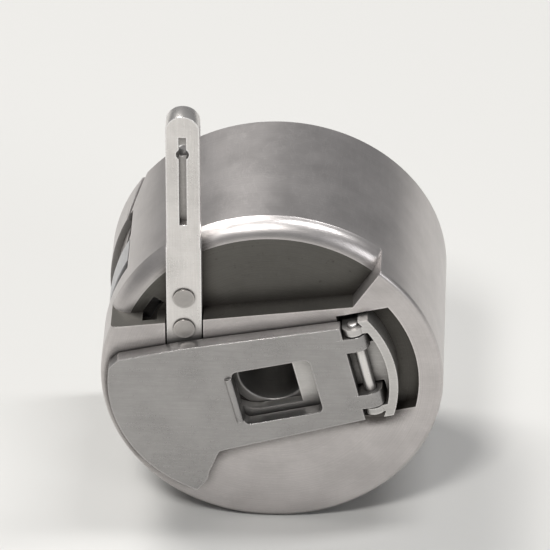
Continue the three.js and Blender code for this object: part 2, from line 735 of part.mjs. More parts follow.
function bobbinFlange([back, front]) {
  let flange = turned([
    [BOBBIN_BORE, back],
    [BOBBIN_RADIUS - FLANGE_EDGE, back],
    [BOBBIN_RADIUS, back + FLANGE_EDGE],
    [BOBBIN_RADIUS, front - FLANGE_EDGE],
    [BOBBIN_RADIUS - FLANGE_EDGE, front],
    [BOBBIN_BORE, front],
    [BOBBIN_BORE, back],
  ], 64);
  for (let i = 0; i < FLANGE_HOLES; i += 1) {
    const angle = (TURN * i) / FLANGE_HOLES;
    const [x, y] = [FLANGE_HOLE_AT * Math.cos(angle), FLANGE_HOLE_AT * Math.sin(angle)];
    flange = flange.subtract(rod(x, y, FLANGE_HOLE_RADIUS, back - PAST, front + PAST, 16));
  }
  return flange;
}

function bobbinCore() {
  const low = REAR_FLANGE[1] + PART_GAP;
  const high = FRONT_FLANGE[0] - PART_GAP;
  return turned([
    [CORE_INNER, low], [CORE_OUTER, low], [CORE_OUTER, high], [CORE_INNER, high], [CORE_INNER, low],
  ], 48);
}

function threadWinding() {
  const low = REAR_FLANGE[1] + PART_GAP;
  const high = FRONT_FLANGE[0] - PART_GAP;
  return turned([
    [THREAD_INNER, low],
    [THREAD_OUTER - THREAD_ROUND, low],
    [THREAD_OUTER, low + THREAD_ROUND],
    [THREAD_OUTER, high - THREAD_ROUND],
    [THREAD_OUTER - THREAD_ROUND, high],
    [THREAD_INNER, high],
    [THREAD_INNER, low],
  ], 64);
}

// ---------------------------------------------------------------- assembly

const FINISH = {
  nickel: { color: 0xa9a5a2, roughness: 0.34, metalness: 1 },
  brightSteel: { color: 0xb8b4b0, roughness: 0.26, metalness: 1 },
  springSteel: { color: 0x8f8e90, roughness: 0.3, metalness: 1 },
  screwSteel: { color: 0x9a9895, roughness: 0.3, metalness: 1 },
  bobbinSteel: { color: 0xa6a6a8, roughness: 0.28, metalness: 1 },
  thread: { color: 0xe6e0d2, roughness: 0.85, metalness: 0 },
};

function toGeometry(piece) {
  const mesh = piece.rotate([90, 0, 0]).getMesh();
  const geometry = new THREE.BufferGeometry();
  geometry.setAttribute('position', new THREE.BufferAttribute(Float32Array.from(mesh.vertProperties), 3));
  geometry.setIndex(Array.from(mesh.triVerts));
  geometry.computeVertexNormals();
  return geometry;
}

function named(name, piece, finish) {
  const mesh = new THREE.Mesh(toGeometry(piece), new THREE.MeshStandardMaterial(finish));
  mesh.name = name;
  return mesh;
}

const assembly = new THREE.Group();
assembly.name = 'bobbin_case';
assembly.add(
  named('case_body', caseBody(), FINISH.nickel),
  named('stud_tube', studTube(), FINISH.brightSteel),
  named('position_finger', positionFinger(), FINISH.brightSteel),
  ...Object.entries(RIVET_HEIGHTS).map(([name, height]) => named(name, fingerRivet(height), FINISH.nickel)),
  named('tension_spring', tensionSpring(), FINISH.springSteel),
  named('tension_screw', wallScrew(TENSION_SCREW_AT, TENSION_SLOT_TURN), FINISH.screwSteel),
  named('spring_set_screw', wallScrew(SET_SCREW_AT, SET_SLOT_TURN), FINISH.screwSteel),
  named('latch_stop_pin', tilted(stopPin()), FINISH.brightSteel),
  named('latch_slide', tilted(latchSlide()), FINISH.brightSteel),
  named('latch_hinge_pin', tilted(crossPin(PIN_RADIUS, PIN_HALF)), FINISH.brightSteel),
  named('latch_spring', tilted(latchSpring()), FINISH.springSteel),
  named('latch_lever', tilted(latchLever()), FINISH.brightSteel),
  named('bobbin_front_flange', bobbinFlange(FRONT_FLANGE), FINISH.bobbinSteel),
  named('bobbin_rear_flange', bobbinFlange(REAR_FLANGE), FINISH.bobbinSteel),
  named('bobbin_core', bobbinCore(), FINISH.bobbinSteel),
  named('thread_winding', threadWinding(), FINISH.thread),
);

export default assembly;
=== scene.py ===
"""Looks of a class 15 bobbin case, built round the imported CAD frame.

Pieces are modelled in millimetres in a face frame: x to the right, y up, z out of the front face, with the
case axis on z and the open rim at z = 0. A level is a height along z. place() turns a piece into the row
frame in metres. Latch pieces are drawn along u and v, and turned by TILT about the case axis.
"""
import math
import random

import bmesh
import bpy
from mathutils import Matrix, Vector


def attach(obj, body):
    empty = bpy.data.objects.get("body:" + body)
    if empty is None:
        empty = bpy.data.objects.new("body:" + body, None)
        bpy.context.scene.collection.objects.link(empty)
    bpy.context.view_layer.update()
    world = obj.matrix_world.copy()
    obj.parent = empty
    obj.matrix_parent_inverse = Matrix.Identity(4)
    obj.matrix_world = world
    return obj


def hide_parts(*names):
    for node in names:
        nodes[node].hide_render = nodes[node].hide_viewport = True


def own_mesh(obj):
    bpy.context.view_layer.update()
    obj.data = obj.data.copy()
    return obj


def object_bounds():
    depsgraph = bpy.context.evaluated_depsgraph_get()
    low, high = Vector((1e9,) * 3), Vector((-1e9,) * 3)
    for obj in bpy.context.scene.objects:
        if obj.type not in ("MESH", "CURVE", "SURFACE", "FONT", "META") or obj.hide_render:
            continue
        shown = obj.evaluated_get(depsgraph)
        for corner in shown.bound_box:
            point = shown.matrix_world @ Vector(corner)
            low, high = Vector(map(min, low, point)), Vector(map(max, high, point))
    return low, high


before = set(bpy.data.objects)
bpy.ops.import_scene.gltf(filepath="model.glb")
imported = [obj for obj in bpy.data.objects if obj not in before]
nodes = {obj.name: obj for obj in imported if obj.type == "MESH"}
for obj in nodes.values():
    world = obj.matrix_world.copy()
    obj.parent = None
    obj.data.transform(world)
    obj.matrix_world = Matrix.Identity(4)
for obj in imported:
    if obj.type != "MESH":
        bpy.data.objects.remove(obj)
cad_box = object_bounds()

MM = 0.001
TO_ROW = Matrix(((MM, 0, 0, 0), (0, 0, -MM, 0), (0, MM, 0, 0), (0, 0, 0, 1)))
TILT = math.radians(13.5)
TURN = 2 * math.pi

# ---------------------------------------------------------------- camera, floor and light, in metres

VIEW_AZIMUTH = math.radians(2.2)
VIEW_ELEVATION = math.radians(35)
LENS_MM = 400
SENSOR_MM = 36
FRAME_WIDTH = 0.0365
AIM_DROP = 0.0006
NEAR_CLIP_DIVISOR = 20
FAR_CLIP = 20
FLOOR_GAP = 0.00002
FLOOR_HALF = 1.5
FLOOR_COLOUR = (0.62, 0.615, 0.60, 1)
FLOOR_ROUGHNESS = 0.7
SKY_COLOUR = (0.80, 0.82, 0.85, 1)
SKY_STRENGTH = 0.16
WARM, SOFT_WARM, COOL, WHITE = (1.0, 0.985, 0.96), (1.0, 0.99, 0.97), (0.97, 0.98, 1.0), (1.0, 1.0, 1.0)
LIGHTS = {
    "key": {"place": (-0.22, 0.20, 0.50), "size": (0.26, 0.18), "watts": 2.2, "colour": WARM},
    "front": {"place": (-0.10, -0.27, 0.40), "size": (0.09, 0.09), "watts": 1.1, "colour": SOFT_WARM},
    "side_fill": {"place": (0.42, -0.40, 0.24), "size": (0.20, 0.20), "watts": 0.6, "colour": COOL},
    "top_strip": {"place": (0.12, 0.02, 0.36), "size": (0.04, 0.18), "watts": 0.55, "colour": WHITE},
}


def make_camera():
    data = bpy.data.cameras.new("camera")
    data.lens = LENS_MM
    data.sensor_width = SENSOR_MM
    camera = bpy.data.objects.new("camera", data)
    bpy.context.scene.collection.objects.link(camera)
    low, high = cad_box
    centre = (low + high) / 2 + Vector((0, 0, -AIM_DROP))
    back = Vector((
        math.sin(VIEW_AZIMUTH) * math.cos(VIEW_ELEVATION),
        -math.cos(VIEW_AZIMUTH) * math.cos(VIEW_ELEVATION),
        math.sin(VIEW_ELEVATION),
    ))
    distance = FRAME_WIDTH * LENS_MM / SENSOR_MM
    camera.location = centre + back * distance
    camera.rotation_euler = (-back).to_track_quat("-Z", "Y").to_euler()
    data.clip_start = distance / NEAR_CLIP_DIVISOR
    data.clip_end = FAR_CLIP
    bpy.context.scene.camera = camera


def area_light(name, place, size, watts, colour):
    data = bpy.data.lights.new(name, "AREA")
    data.shape = "RECTANGLE"
    data.size, data.size_y = size
    data.energy = watts
    data.color = colour
    light = bpy.data.objects.new(name, data)
    light.location = place
    light.rotation_euler = (-Vector(place)).to_track_quat("-Z", "Y").to_euler()
    bpy.context.scene.collection.objects.link(light)


def make_lights():
    for name, settings in LIGHTS.items():
        area_light(name, **settings)
    bpy.context.scene.view_settings.view_transform = "Standard"
    world = bpy.data.worlds.new("world")
    world.use_nodes = True
    background = world.node_tree.nodes["Background"]
    background.inputs["Color"].default_value = SKY_COLOUR
    background.inputs["Strength"].default_value = SKY_STRENGTH
    bpy.context.scene.world = world


def make_floor():
    half = FLOOR_HALF
    level = cad_box[0].z - FLOOR_GAP
    corners = [(-half, -half, level), (half, -half, level), (half, half, level), (-half, half, level)]
    mesh = bpy.data.meshes.new("floor")
    mesh.from_pydata(corners, [], [(0, 1, 2, 3)])
    floor = bpy.data.objects.new("floor", mesh)
    bpy.context.scene.collection.objects.link(floor)
    material = bpy.data.materials.new("floor")
    material.use_nodes = True
    shader = material.node_tree.nodes["Principled BSDF"]
    shader.inputs["Base Color"].default_value = FLOOR_COLOUR
    shader.inputs["Roughness"].default_value = FLOOR_ROUGHNESS
    mesh.materials.append(material)


make_camera()
make_lights()
make_floor()

# ---------------------------------------------------------------- materials

METALLIC = 0.86
# Dark colour of the painted shade in corners, gaps and under ledges, and of stains.
SHADE_AND_STAIN_COLOUR = (0.05, 0.042, 0.036)
CLOUDS_PER_MM = 0.35
GRAINS_PER_MM = 9.0
STAINS_PER_MM = 1.7
RING_PITCH = 0.07
BRUSH_DEPTH = 0.24
# Width of the edge band brightened as wear and as a painted highlight.
BRIGHT_EDGE_MM = 0.2
# Reach of the occlusion test for painted shade in corners.
CORNER_MM = 1.6
# Painted shadow under ledges: reach and upward lean of its occlusion test.
LEDGE_MM = 1.7
LEDGE_LEAN = 1.6
CAVITY_SAMPLES = 8
LEDGE_SAMPLES = 20
CLOUD_DARK, CLOUD_LIGHT = 0.90, 1.06
# Tone factors for tool marks, for bright edges (wear and painted highlight) and for hairlines.
MARK_SHADE, WEAR_AND_HIGHLIGHT_SHADE, HAIR_SHADE = 0.62, 1.45, 1.5
HAIRS_PER_M = 180
HAIR_WIDTH = 0.012
HAIR_DIRECTIONS = ((0.35, 14.0), (1.45, 18.0), (2.4, 11.0))
ACROSS_LATCH = (350, 900, 9000)
ALONG_SLIDE = (350, 900, 7000)
UP_FINGER = (9000, 900, 350)
ROUND_LEAF = (900, 350, 9000)
FIBRES = (2500, 9000, 2500)


class Graph:
    """Short names for building one material's nodes."""

    def __init__(self, name):
        self.material = bpy.data.materials.new(name)
        self.material.use_nodes = True
        self.tree = self.material.node_tree
        self.shader = self.tree.nodes["Principled BSDF"]
        self.shader.inputs["Metallic"].default_value = METALLIC

    def node(self, kind, **settings):
        made = self.tree.nodes.new(kind)
        for key, value in settings.items():
            setattr(made, key, value)
        return made

    def link(self, source, target):
        self.tree.links.new(source, target)

    def feed(self, socket, value):
        if isinstance(value, (int, float, tuple)):
            socket.default_value = value
        else:
            self.link(value, socket)

    def math(self, operation, a, b=0.0, clamp=False):
        made = self.node("ShaderNodeMath", operation=operation, use_clamp=clamp)
        self.feed(made.inputs[0], a)
        self.feed(made.inputs[1], b)
        return made.outputs[0]

    def add(self, a, b):
        return self.math("ADD", a, b)

    def times(self, a, b):
        return self.math("MULTIPLY", a, b, clamp=True)

    def most(self, a, b):
        return self.math("MAXIMUM", a, b)

    def inverse(self, value):
        return self.math("SUBTRACT", 1.0, value)

    def millimetres(self, scale=(1000, 1000, 1000), rotation=(0, 0, 0)):
        coordinates = self.node("ShaderNodeTexCoord").outputs["Object"]
        mapping = self.node("ShaderNodeMapping")
        mapping.inputs["Scale"].default_value = scale
        mapping.inputs["Rotation"].default_value = rotation
        self.link(coordinates, mapping.inputs["Vector"])
        return mapping.outputs["Vector"]

    def noise(self, vector, scale, detail=3.0, roughness=0.55, distortion=0.0):
        made = self.node("ShaderNodeTexNoise")
        self.link(vector, made.inputs["Vector"])
        made.inputs["Scale"].default_value = scale
        made.inputs["Detail"].default_value = detail
        made.inputs["Roughness"].default_value = roughness
        made.inputs["Distortion"].default_value = distortion
        return made.outputs["Fac"]

    def ramp(self, value, low, high, start=0.0, end=1.0):
        made = self.node("ShaderNodeMapRange", clamp=True)
        self.feed(made.inputs["Value"], value)
        self.feed(made.inputs["From Min"], low)
        self.feed(made.inputs["From Max"], high)
        self.feed(made.inputs["To Min"], start)
        self.feed(made.inputs["To Max"], end)
        return made.outputs["Result"]

    def mix(self, factor, a, b):
        made = self.node("ShaderNodeMix", data_type="RGBA")
        self.feed(made.inputs["Factor"], factor)
        for key, value in (("A", a), ("B", b)):
            socket = next(s for s in made.inputs if s.name == key and s.type == "RGBA")
            self.feed(socket, (*value, 1.0) if isinstance(value, tuple) else value)
        return next(s for s in made.outputs if s.type == "RGBA")

    def bump(self, height, strength, distance_mm, normal=None):
        made = self.node("ShaderNodeBump")
        made.inputs["Strength"].default_value = strength
        made.inputs["Distance"].default_value = distance_mm * MM
        self.link(height, made.inputs["Height"])
        if normal is not None:
            self.link(normal, made.inputs["Normal"])
        return made.outputs["Normal"]


def turning_marks(graph, pitch):
    """Rings left by a lathe: a value that changes with the distance from the axis and along it."""
    split = graph.node("ShaderNodeSeparateXYZ")
    graph.link(graph.millimetres(), split.inputs[0])
    across = graph.math("MULTIPLY", split.outputs["X"], split.outputs["X"])
    up = graph.math("MULTIPLY", split.outputs["Z"], split.outputs["Z"])
    radius = graph.math("SQRT", graph.add(across, up))
    rings = graph.node("ShaderNodeTexNoise", noise_dimensions="1D")
    graph.link(graph.add(radius, split.outputs["Y"]), rings.inputs["W"])
    rings.inputs["Scale"].default_value = 1 / pitch
    rings.inputs["Detail"].default_value = 2.0
    return rings.outputs["Fac"]


def hairlines(graph):
    """Sparse scratches: thin bands of stretched noise, laid in a few directions."""
    total = None
    for angle, stretch in HAIR_DIRECTIONS:
        scale = (HAIRS_PER_M, HAIRS_PER_M, HAIRS_PER_M * stretch)
        field = graph.noise(graph.millimetres(scale, (0, angle, 0)), 1.0, 4.0, 0.6, 0.4)
        band = graph.math("ABSOLUTE", graph.math("SUBTRACT", field, 0.5))
        line = graph.ramp(band, 0.0, HAIR_WIDTH, 1.0, 0.0)
        total = line if total is None else graph.most(total, line)
    return total


def cavity(graph, distance_mm, deep_at=0.25, open_at=0.92, lean=0.0):
    """A mask for painted shade: 1 deep in a corner or gap, 0 in the open; a lean above 0 finds what is under
    a ledge, for a painted shadow.
    """
    samples = LEDGE_SAMPLES if lean else CAVITY_SAMPLES
    made = graph.node("ShaderNodeAmbientOcclusion", samples=samples, only_local=False)
    made.inputs["Distance"].default_value = distance_mm * MM
    if lean:
        leaning = graph.node("ShaderNodeVectorMath", operation="ADD")
        graph.link(graph.node("ShaderNodeNewGeometry").outputs["Normal"], leaning.inputs[0])
        leaning.inputs[1].default_value = (0, 0, lean)
        graph.link(leaning.outputs["Vector"], made.inputs["Normal"])
    return graph.ramp(made.outputs["AO"], deep_at, open_at, 1.0, 0.0)


def worn_and_highlit_edges(graph, width_mm):
    """1 along edges, whatever the mesh: where a rounded normal leaves the true one."""
    rounded_normal = graph.node("ShaderNodeBevel", samples=6)
    rounded_normal.inputs["Radius"].default_value = width_mm * MM
    compare = graph.node("ShaderNodeVectorMath", operation="DOT_PRODUCT")
    graph.link(rounded_normal.outputs["Normal"], compare.inputs[0])
    graph.link(graph.node("ShaderNodeNewGeometry").outputs["Normal"], compare.inputs[1])
    return graph.ramp(compare.outputs["Value"], 0.93, 0.998, 1.0, 0.0)


def scaled(colour, factor):
    return tuple(min(1.0, factor * c) for c in colour)


def shade_and_stain_mask(g, cloud, gap_shade, painted_shade, ledge_shadow, spots):
    """Painted shade in wide corners and narrow gaps, a painted shadow under ledges, and real scattered
    stains.
    """
    shade_and_stains = g.math("MULTIPLY", cavity(g, CORNER_MM, 0.30, 0.80), g.ramp(cloud, 0.3, 0.6, 0.6, 1.0))
    shade_and_stains = g.times(shade_and_stains, painted_shade)
    if ledge_shadow:
        # Painted shadow under ledges, from an occlusion test with the normal leant upward.
        under = g.math("MULTIPLY", cavity(g, LEDGE_MM, 0.49, 0.79, LEDGE_LEAN), ledge_shadow)
        shade_and_stains = g.most(shade_and_stains, under)
    shade_and_stains = g.most(shade_and_stains, g.times(gap_shade, min(1.0, 1.2 * painted_shade)))
    if spots:
        stain = g.ramp(g.noise(g.millimetres(), STAINS_PER_MM, 5.0, 0.65), 0.62, 0.72)
        shade_and_stains = g.most(shade_and_stains, g.math("MULTIPLY", stain, spots))
    return shade_and_stains


def steel(
    name, colour, roughness, turned=0.0, brushed=None, turn=-TILT, painted_shade=0.5, gap_mm=0.5, ledge_shadow=0.0, spots=0.0
):
    """Satin plated steel: cloudy tint, fine grain, tool marks, hairlines, edges brightened as wear and as a
    painted highlight, painted shade in corners and gaps, a painted shadow under ledges, and stains.
    """
    g = Graph(name)
    cloud = g.noise(g.millimetres(), CLOUDS_PER_MM, 4.0, 0.6)
    grain = g.noise(g.millimetres(), GRAINS_PER_MM, 6.0, 0.7)
    if brushed:
        marks = g.noise(g.millimetres(brushed, (0, turn, 0)), 1.0, 5.0, 0.75)
    else:
        marks = turning_marks(g, RING_PITCH)
    # Painted shade in narrow gaps; it also keeps the edge brightening out of them.
    gap_shade = cavity(g, gap_mm, 0.25, 0.88)
    # Edges brightened partly as wear on the plating, partly as a painted highlight, kept out of gaps.
    edges = g.times(worn_and_highlit_edges(g, BRIGHT_EDGE_MM), g.inverse(gap_shade))
    wear_and_highlight = g.math("MULTIPLY", edges, g.ramp(grain, 0.35, 0.6, 0.25, 0.75))
    # Painted shade in corners and gaps and a painted shadow under ledges, together with stains.
    shade_and_stains = shade_and_stain_mask(g, cloud, gap_shade, painted_shade, ledge_shadow, spots)
    hair = hairlines(g)

    tint = g.mix(g.ramp(cloud, 0.35, 0.65), scaled(colour, CLOUD_DARK), scaled(colour, CLOUD_LIGHT))
    tint = g.mix(g.ramp(marks, 0.40, 0.75, 0.0, 0.28), tint, scaled(colour, MARK_SHADE))
    # Paints the bright edges: wear and painted highlight.
    tint = g.mix(wear_and_highlight, tint, scaled(colour, WEAR_AND_HIGHLIGHT_SHADE))
    # Paints that shade, that shadow and the stains in the dark colour.
    tint = g.mix(shade_and_stains, tint, SHADE_AND_STAIN_COLOUR)
    bright_hair = g.math("MULTIPLY", hair, g.ramp(grain, 0.4, 0.6, 0.0, 0.22))
    tint = g.mix(bright_hair, tint, scaled(colour, HAIR_SHADE))
    g.link(tint, g.shader.inputs["Base Color"])

    rough = g.add(roughness - 0.12, g.math("MULTIPLY", grain, 0.10))
    rough = g.add(rough, g.math("MULTIPLY", cloud, 0.08))
    rough = g.add(rough, g.math("MULTIPLY", marks, 0.10))
    rough = g.add(rough, g.math("MULTIPLY", shade_and_stains, 0.3))
    rough = g.math("SUBTRACT", rough, g.math("MULTIPLY", wear_and_highlight, 0.06), clamp=True)
    g.link(rough, g.shader.inputs["Roughness"])

    normal = g.bump(grain, 0.10, 0.03)
    normal = g.bump(g.inverse(hair), 0.07, 0.02, normal)
    normal = g.bump(marks, turned or BRUSH_DEPTH, 0.03, normal)
    g.link(normal, g.shader.inputs["Normal"])
    return g.material


def thread_material():
    """Pale polyester: fine fibres, soft sheen, painted shade between the turns."""
    g = Graph("wound_fibre")
    g.shader.inputs["Metallic"].default_value = 0.0
    g.shader.inputs["Roughness"].default_value = 0.72
    g.shader.inputs["Sheen Weight"].default_value = 0.5
    g.shader.inputs["Sheen Roughness"].default_value = 0.4
    fibre = g.noise(g.millimetres(FIBRES), 1.0, 5.0, 0.7, 0.6)
    cloud = g.noise(g.millimetres(), 0.8, 3.0)
    tint = g.mix(g.ramp(fibre, 0.3, 0.7), (0.70, 0.66, 0.58), (0.92, 0.89, 0.82))
    tint = g.mix(g.math("MULTIPLY", cloud, 0.3), tint, (0.80, 0.76, 0.68))
    # Painted shade between the turns.
    tint = g.mix(g.math("MULTIPLY", cavity(g, 0.35), 0.55), tint, (0.30, 0.27, 0.22))
    g.link(tint, g.shader.inputs["Base Color"])
    g.link(g.bump(fibre, 0.5, 0.04), g.shader.inputs["Normal"])
    return g.material


# Per part: how dark the painted shade in corners and gaps is, and on the nickel a painted shadow under
# ledges.
NICKEL = steel("nickel", (0.58, 0.55, 0.54), 0.32, turned=0.10, painted_shade=0.7, ledge_shadow=0.9)
# A dark copy of the nickel: painted shade on the recess and channel floors.
RECESS_SHADE = steel("recess_painted_shade", (0.125, 0.12, 0.11), 0.40, turned=0.14, painted_shade=0.8, spots=0.5)
# A darker copy of the nickel: painted shade inside the cup and in the stud's bore.
INSIDE_SHADE = steel("inside_painted_shade", (0.30, 0.29, 0.28), 0.42, turned=0.12, painted_shade=0.6, spots=0.25)
# The lever's wider gap test paints shade on its side walls near the case face.
LATCH = steel("latch_plate", (0.355, 0.345, 0.34), 0.27, brushed=ACROSS_LATCH, painted_shade=0.75, gap_mm=0.9)
FINGER = steel("finger_plate", (0.74, 0.715, 0.695), 0.27, brushed=UP_FINGER, turn=0.0, painted_shade=0.7)
RIVET = steel("rivet_plate", (0.42, 0.40, 0.385), 0.34, painted_shade=0.9)
SLIDE = steel("slide_plate", (0.56, 0.545, 0.53), 0.29, brushed=ALONG_SLIDE, painted_shade=0.75)
SPRING = steel("leaf_plate", (0.47, 0.47, 0.485), 0.28, brushed=ROUND_LEAF, turn=0.0, painted_shade=0.5, spots=0.15)
SCREW = steel("screw_plate", (0.60, 0.585, 0.57), 0.26, painted_shade=0.8)
BOBBIN = steel("bobbin_plate", (0.68, 0.68, 0.69), 0.22, turned=0.08, painted_shade=0.45)
THREAD = thread_material()

# ---------------------------------------------------------------- mesh code

ON_AXIS = 1e-6
DOUBLED = 0.0008
SLIVER = 0.0005
FLAT_ANGLE = 0.2
ROD_START = 0.7


def new_object(name, bm):
    mesh = bpy.data.meshes.new(name)
    bmesh.ops.recalc_face_normals(bm, faces=bm.faces)
    bm.to_mesh(mesh)
    bm.free()
    made = bpy.data.objects.new(name, mesh)
    bpy.context.scene.collection.objects.link(made)
    return made


def arc(centre, radius, start, end, steps):
    """Points of an arc, in degrees."""
    angles = [math.radians(start + (end - start) * i / steps) for i in range(steps + 1)]
    return [(centre[0] + radius * math.cos(a), centre[1] + radius * math.sin(a)) for a in angles]


def rounded(profile, radii, steps=5):
    """The corner list with each corner whose radius is above 0 turned into an arc."""
    out = []
    count = len(profile)
    for i, (point, radius) in enumerate(zip(profile, radii)):
        here = Vector(point)
        if radius <= 0:
            out.append(tuple(here))
            continue
        before = (Vector(profile[i - 1]) - here).normalized()
        after = (Vector(profile[(i + 1) % count]) - here).normalized()
        half = before.angle(after) / 2
        reach = radius / math.tan(half)
        start, end = here + before * reach, here + after * reach
        centre = here + (before + after).normalized() * radius / math.sin(half)
        for k in range(steps + 1):
            spoke = (start - centre).slerp(end - centre, k / steps)
            out.append(tuple(centre + radius * spoke))
    return out


def ring_of_points(bm, radius, level, segments):
    if radius < ON_AXIS:
        return [bm.verts.new((0, 0, level))] * segments
    turns = [TURN * i / segments for i in range(segments)]
    return [bm.verts.new((radius * math.cos(t), radius * math.sin(t), level)) for t in turns]


def lathe(name, profile, segments=128):
    """Turns (radius, level) points about z; a profile off the axis closes on itself."""
    bm = bmesh.new()
    rings = [ring_of_points(bm, radius, level, segments) for radius, level in profile]
    starts_on_axis = profile[0][0] < ON_AXIS
    for k in range(len(rings) - 1 if starts_on_axis else len(rings)):
        a, b = rings[k], rings[(k + 1) % len(rings)]
        for i in range(segments):
            j = (i + 1) % segments
            corners = []
            for vertex in (a[i], a[j], b[j], b[i]):
                if vertex not in corners:
                    corners.append(vertex)
            if len(corners) > 2:
                bm.faces.new(corners)
    return new_object(name, bm)


def prism(name, outline, low, high):
    bm = bmesh.new()
    bottom = [bm.verts.new((x, y, low)) for x, y in outline]
    top = [bm.verts.new((x, y, high)) for x, y in outline]
    bm.faces.new(bottom)
    bm.faces.new(top)
    for i in range(len(outline)):
        j = (i + 1) % len(outline)
        bm.faces.new((bottom[i], bottom[j], top[j], top[i]))
    return new_object(name, bm)


def block(left, right, bottom, top, low, high):
    return prism("cutter", [(left, bottom), (right, bottom), (right, top), (left, top)], low, high)


def rod(x, y, radius, low, high, segments=48):
    """A round bar, turned a little so that its corners stay off the edges of whatever it cuts."""
    last = ROD_START + 360 * (segments - 1) / segments
    return prism("cutter", arc((x, y), radius, ROD_START, last, segments - 1), low, high)


def sector(name, inner, outer, start, end, low, high, steps):
    outline = arc((0, 0), outer, start, end, steps) + arc((0, 0), inner, end, start, steps)
    return prism(name, outline, low, high)


def move(made, matrix):
    made.data.transform(matrix)
    return made


def tilted(made):
    return move(made, Matrix.Rotation(TILT, 4, "Z"))


def radial(made, angle, level):
    """Lays a piece drawn along z outward from the axis, at an angle in degrees round it."""
    turn = Matrix.Rotation(math.radians(angle), 4, "Z") @ Matrix.Rotation(math.pi / 2, 4, "Y")
    return move(made, Matrix.Translation((0, 0, level)) @ turn)


def upright(name, outline, low, high):
    """A plate with its outline in (u, level), standing across v from low to high."""
    return move(prism(name, outline, -high, -low), Matrix.Rotation(math.pi / 2, 4, "X"))


def apply_modifiers(made):
    graph = bpy.context.evaluated_depsgraph_get()
    mesh = bpy.data.meshes.new_from_object(made.evaluated_get(graph))
    old = made.data
    made.modifiers.clear()
    made.data = mesh
    bpy.data.meshes.remove(old)


def combine(made, others, operation):
    for other in others:
        modifier = made.modifiers.new("boolean", "BOOLEAN")
        modifier.operation = operation
        modifier.solver = "EXACT"
        modifier.object = other
        apply_modifiers(made)
        old = other.data
        bpy.data.objects.remove(other)
        bpy.data.meshes.remove(old)
    return made


def cut(made, *others):
    return combine(made, others, "DIFFERENCE")


def join(made, *others):
    return combine(made, others, "UNION")


def tidy(made):
    """Merges doubled points and flat neighbours, so that a bevel follows clean edges."""
    bm = bmesh.new()
    bm.from_mesh(made.data)
    bmesh.ops.remove_doubles(bm, verts=bm.verts, dist=DOUBLED)
    bmesh.ops.dissolve_limit(
        bm, angle_limit=math.radians(FLAT_ANGLE), use_dissolve_boundaries=False,
        verts=bm.verts, edges=bm.edges,
    )
    bmesh.ops.dissolve_degenerate(bm, dist=SLIVER, edges=bm.edges)
    bmesh.ops.recalc_face_normals(bm, faces=bm.faces)
    bm.to_mesh(made.data)
    bm.free()


def bevel(made, width, segments=2, angle=32):
    tidy(made)
    modifier = made.modifiers.new("bevel", "BEVEL")
    modifier.width = width
    modifier.segments = segments
    modifier.limit_method = "ANGLE"
    modifier.angle_limit = math.radians(angle)
    modifier.use_clamp_overlap = True
    modifier.miter_outer = "MITER_ARC"
    apply_modifiers(made)
    return made


def place(made, body, replaced, slot, *materials, smooth=28):
    """Finishes a piece: the row frame, materials, shading, and the body it rides on."""
    mesh = made.data
    mesh.transform(TO_ROW)
    mesh.materials.clear()
    for material in materials:
        mesh.materials.append(material)
    for face in mesh.polygons:
        face.use_smooth = True
    mesh.set_sharp_from_angle(angle=math.radians(smooth))
    weighted = made.modifiers.new("normals", "WEIGHTED_NORMAL")
    weighted.keep_sharp = True
    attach(made, body)
    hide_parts(*replaced)
    return made


# ---------------------------------------------------------------- case shell

PAST = 1.0
BEYOND = 15.0
CASE_RADIUS, CASE_BORE = 11.3, 10.45
FLOOR_INNER, STEP_LEVEL, FACE_LEVEL = 11.8, 12.4, 13.9
BORE_CORNER, RIM_INNER_ROUND, RIM_OUTER_ROUND, FACE_ROUND = 0.5, 0.16, 0.2, 0.34
CASE_BEVEL = 0.07
SHOULDER = 1.3
STEP_HEIGHT, STEP_SLOPE = 5.3, 0.129
STEP_CORNER, STEP_END = 5.3, (7.6, 9.6)
STUD_SEAT = 2.87
CUP_SEGMENTS = 180

CHANNEL_LEVEL, CHANNEL_HALF, CHANNEL_LEFT = 13.05, 2.96, -9.6
POCKET_RADIUS, POCKET_HALF, POCKET_LEFT = 9.7, 4.1, 5.3
LUG_ROOM_LEVEL, LUG_ROOM_MIDDLE, LUG_ROOM_HALF, LUG_ROOM_LEFT, LUG_ROOM_RIGHT = 12.35, 2.3, 0.65, 5.8, 7.4
COIL_ROOM_LEVEL, COIL_ROOM_HALF, COIL_ROOM_LEFT, COIL_ROOM_RIGHT = 12.8, 0.62, -8.5, -4.87
STOP_PIN_U, STOP_PIN_SEAT, STOP_PIN_FOOT = -4.85, 0.51, 12.28
JAW, JAW_ROOM_RIGHT, JAW_ROOM_HALF = 1.6, 3.0, 1.3
PIN_U, PIN_LEVEL = 6.3, 14.2

SCREW_LEVEL = 6.3
SCREWS = {"tension": 198, "set": 225}
SCREW_CLEARANCE = 0.62
LEAF_SEAT_RADIUS, LEAF_SEAT_FROM, LEAF_SEAT_TO, LEAF_SEAT_LOW, LEAF_SEAT_HIGH = 10.85, 149, 239, 2.9, 9.7
SLIT_RIM, SLIT_INNER, SLIT_HALF = (141, -0.6), (163, 6.3), 0.25
EYE_INNER, EYE_OUTER, EYE_FROM, EYE_TO = 8.7, 9.5, 145, 158

FINGER_LEFT, FINGER_RIGHT, FINGER_FOOT, FINGER_TIP = -6.85, -4.65, 2.4, 20.5
FINGER_BACK, FINGER_FRONT = 12.42, 13.75
FINGER_MIDDLE = (FINGER_LEFT + FINGER_RIGHT) / 2
FINGER_ROOT, FINGER_GUIDE = 0.05, 10.2
FINGER_ROOM_SIDE, FINGER_ROOM_FOOT = 0.15, 0.1
RIVETS = {"lower": 3.95, "upper": 6.35}
RIVET_HOLE, RIVET_SINK, RIVET_SINK_DEPTH = 0.52, 0.8, 0.25


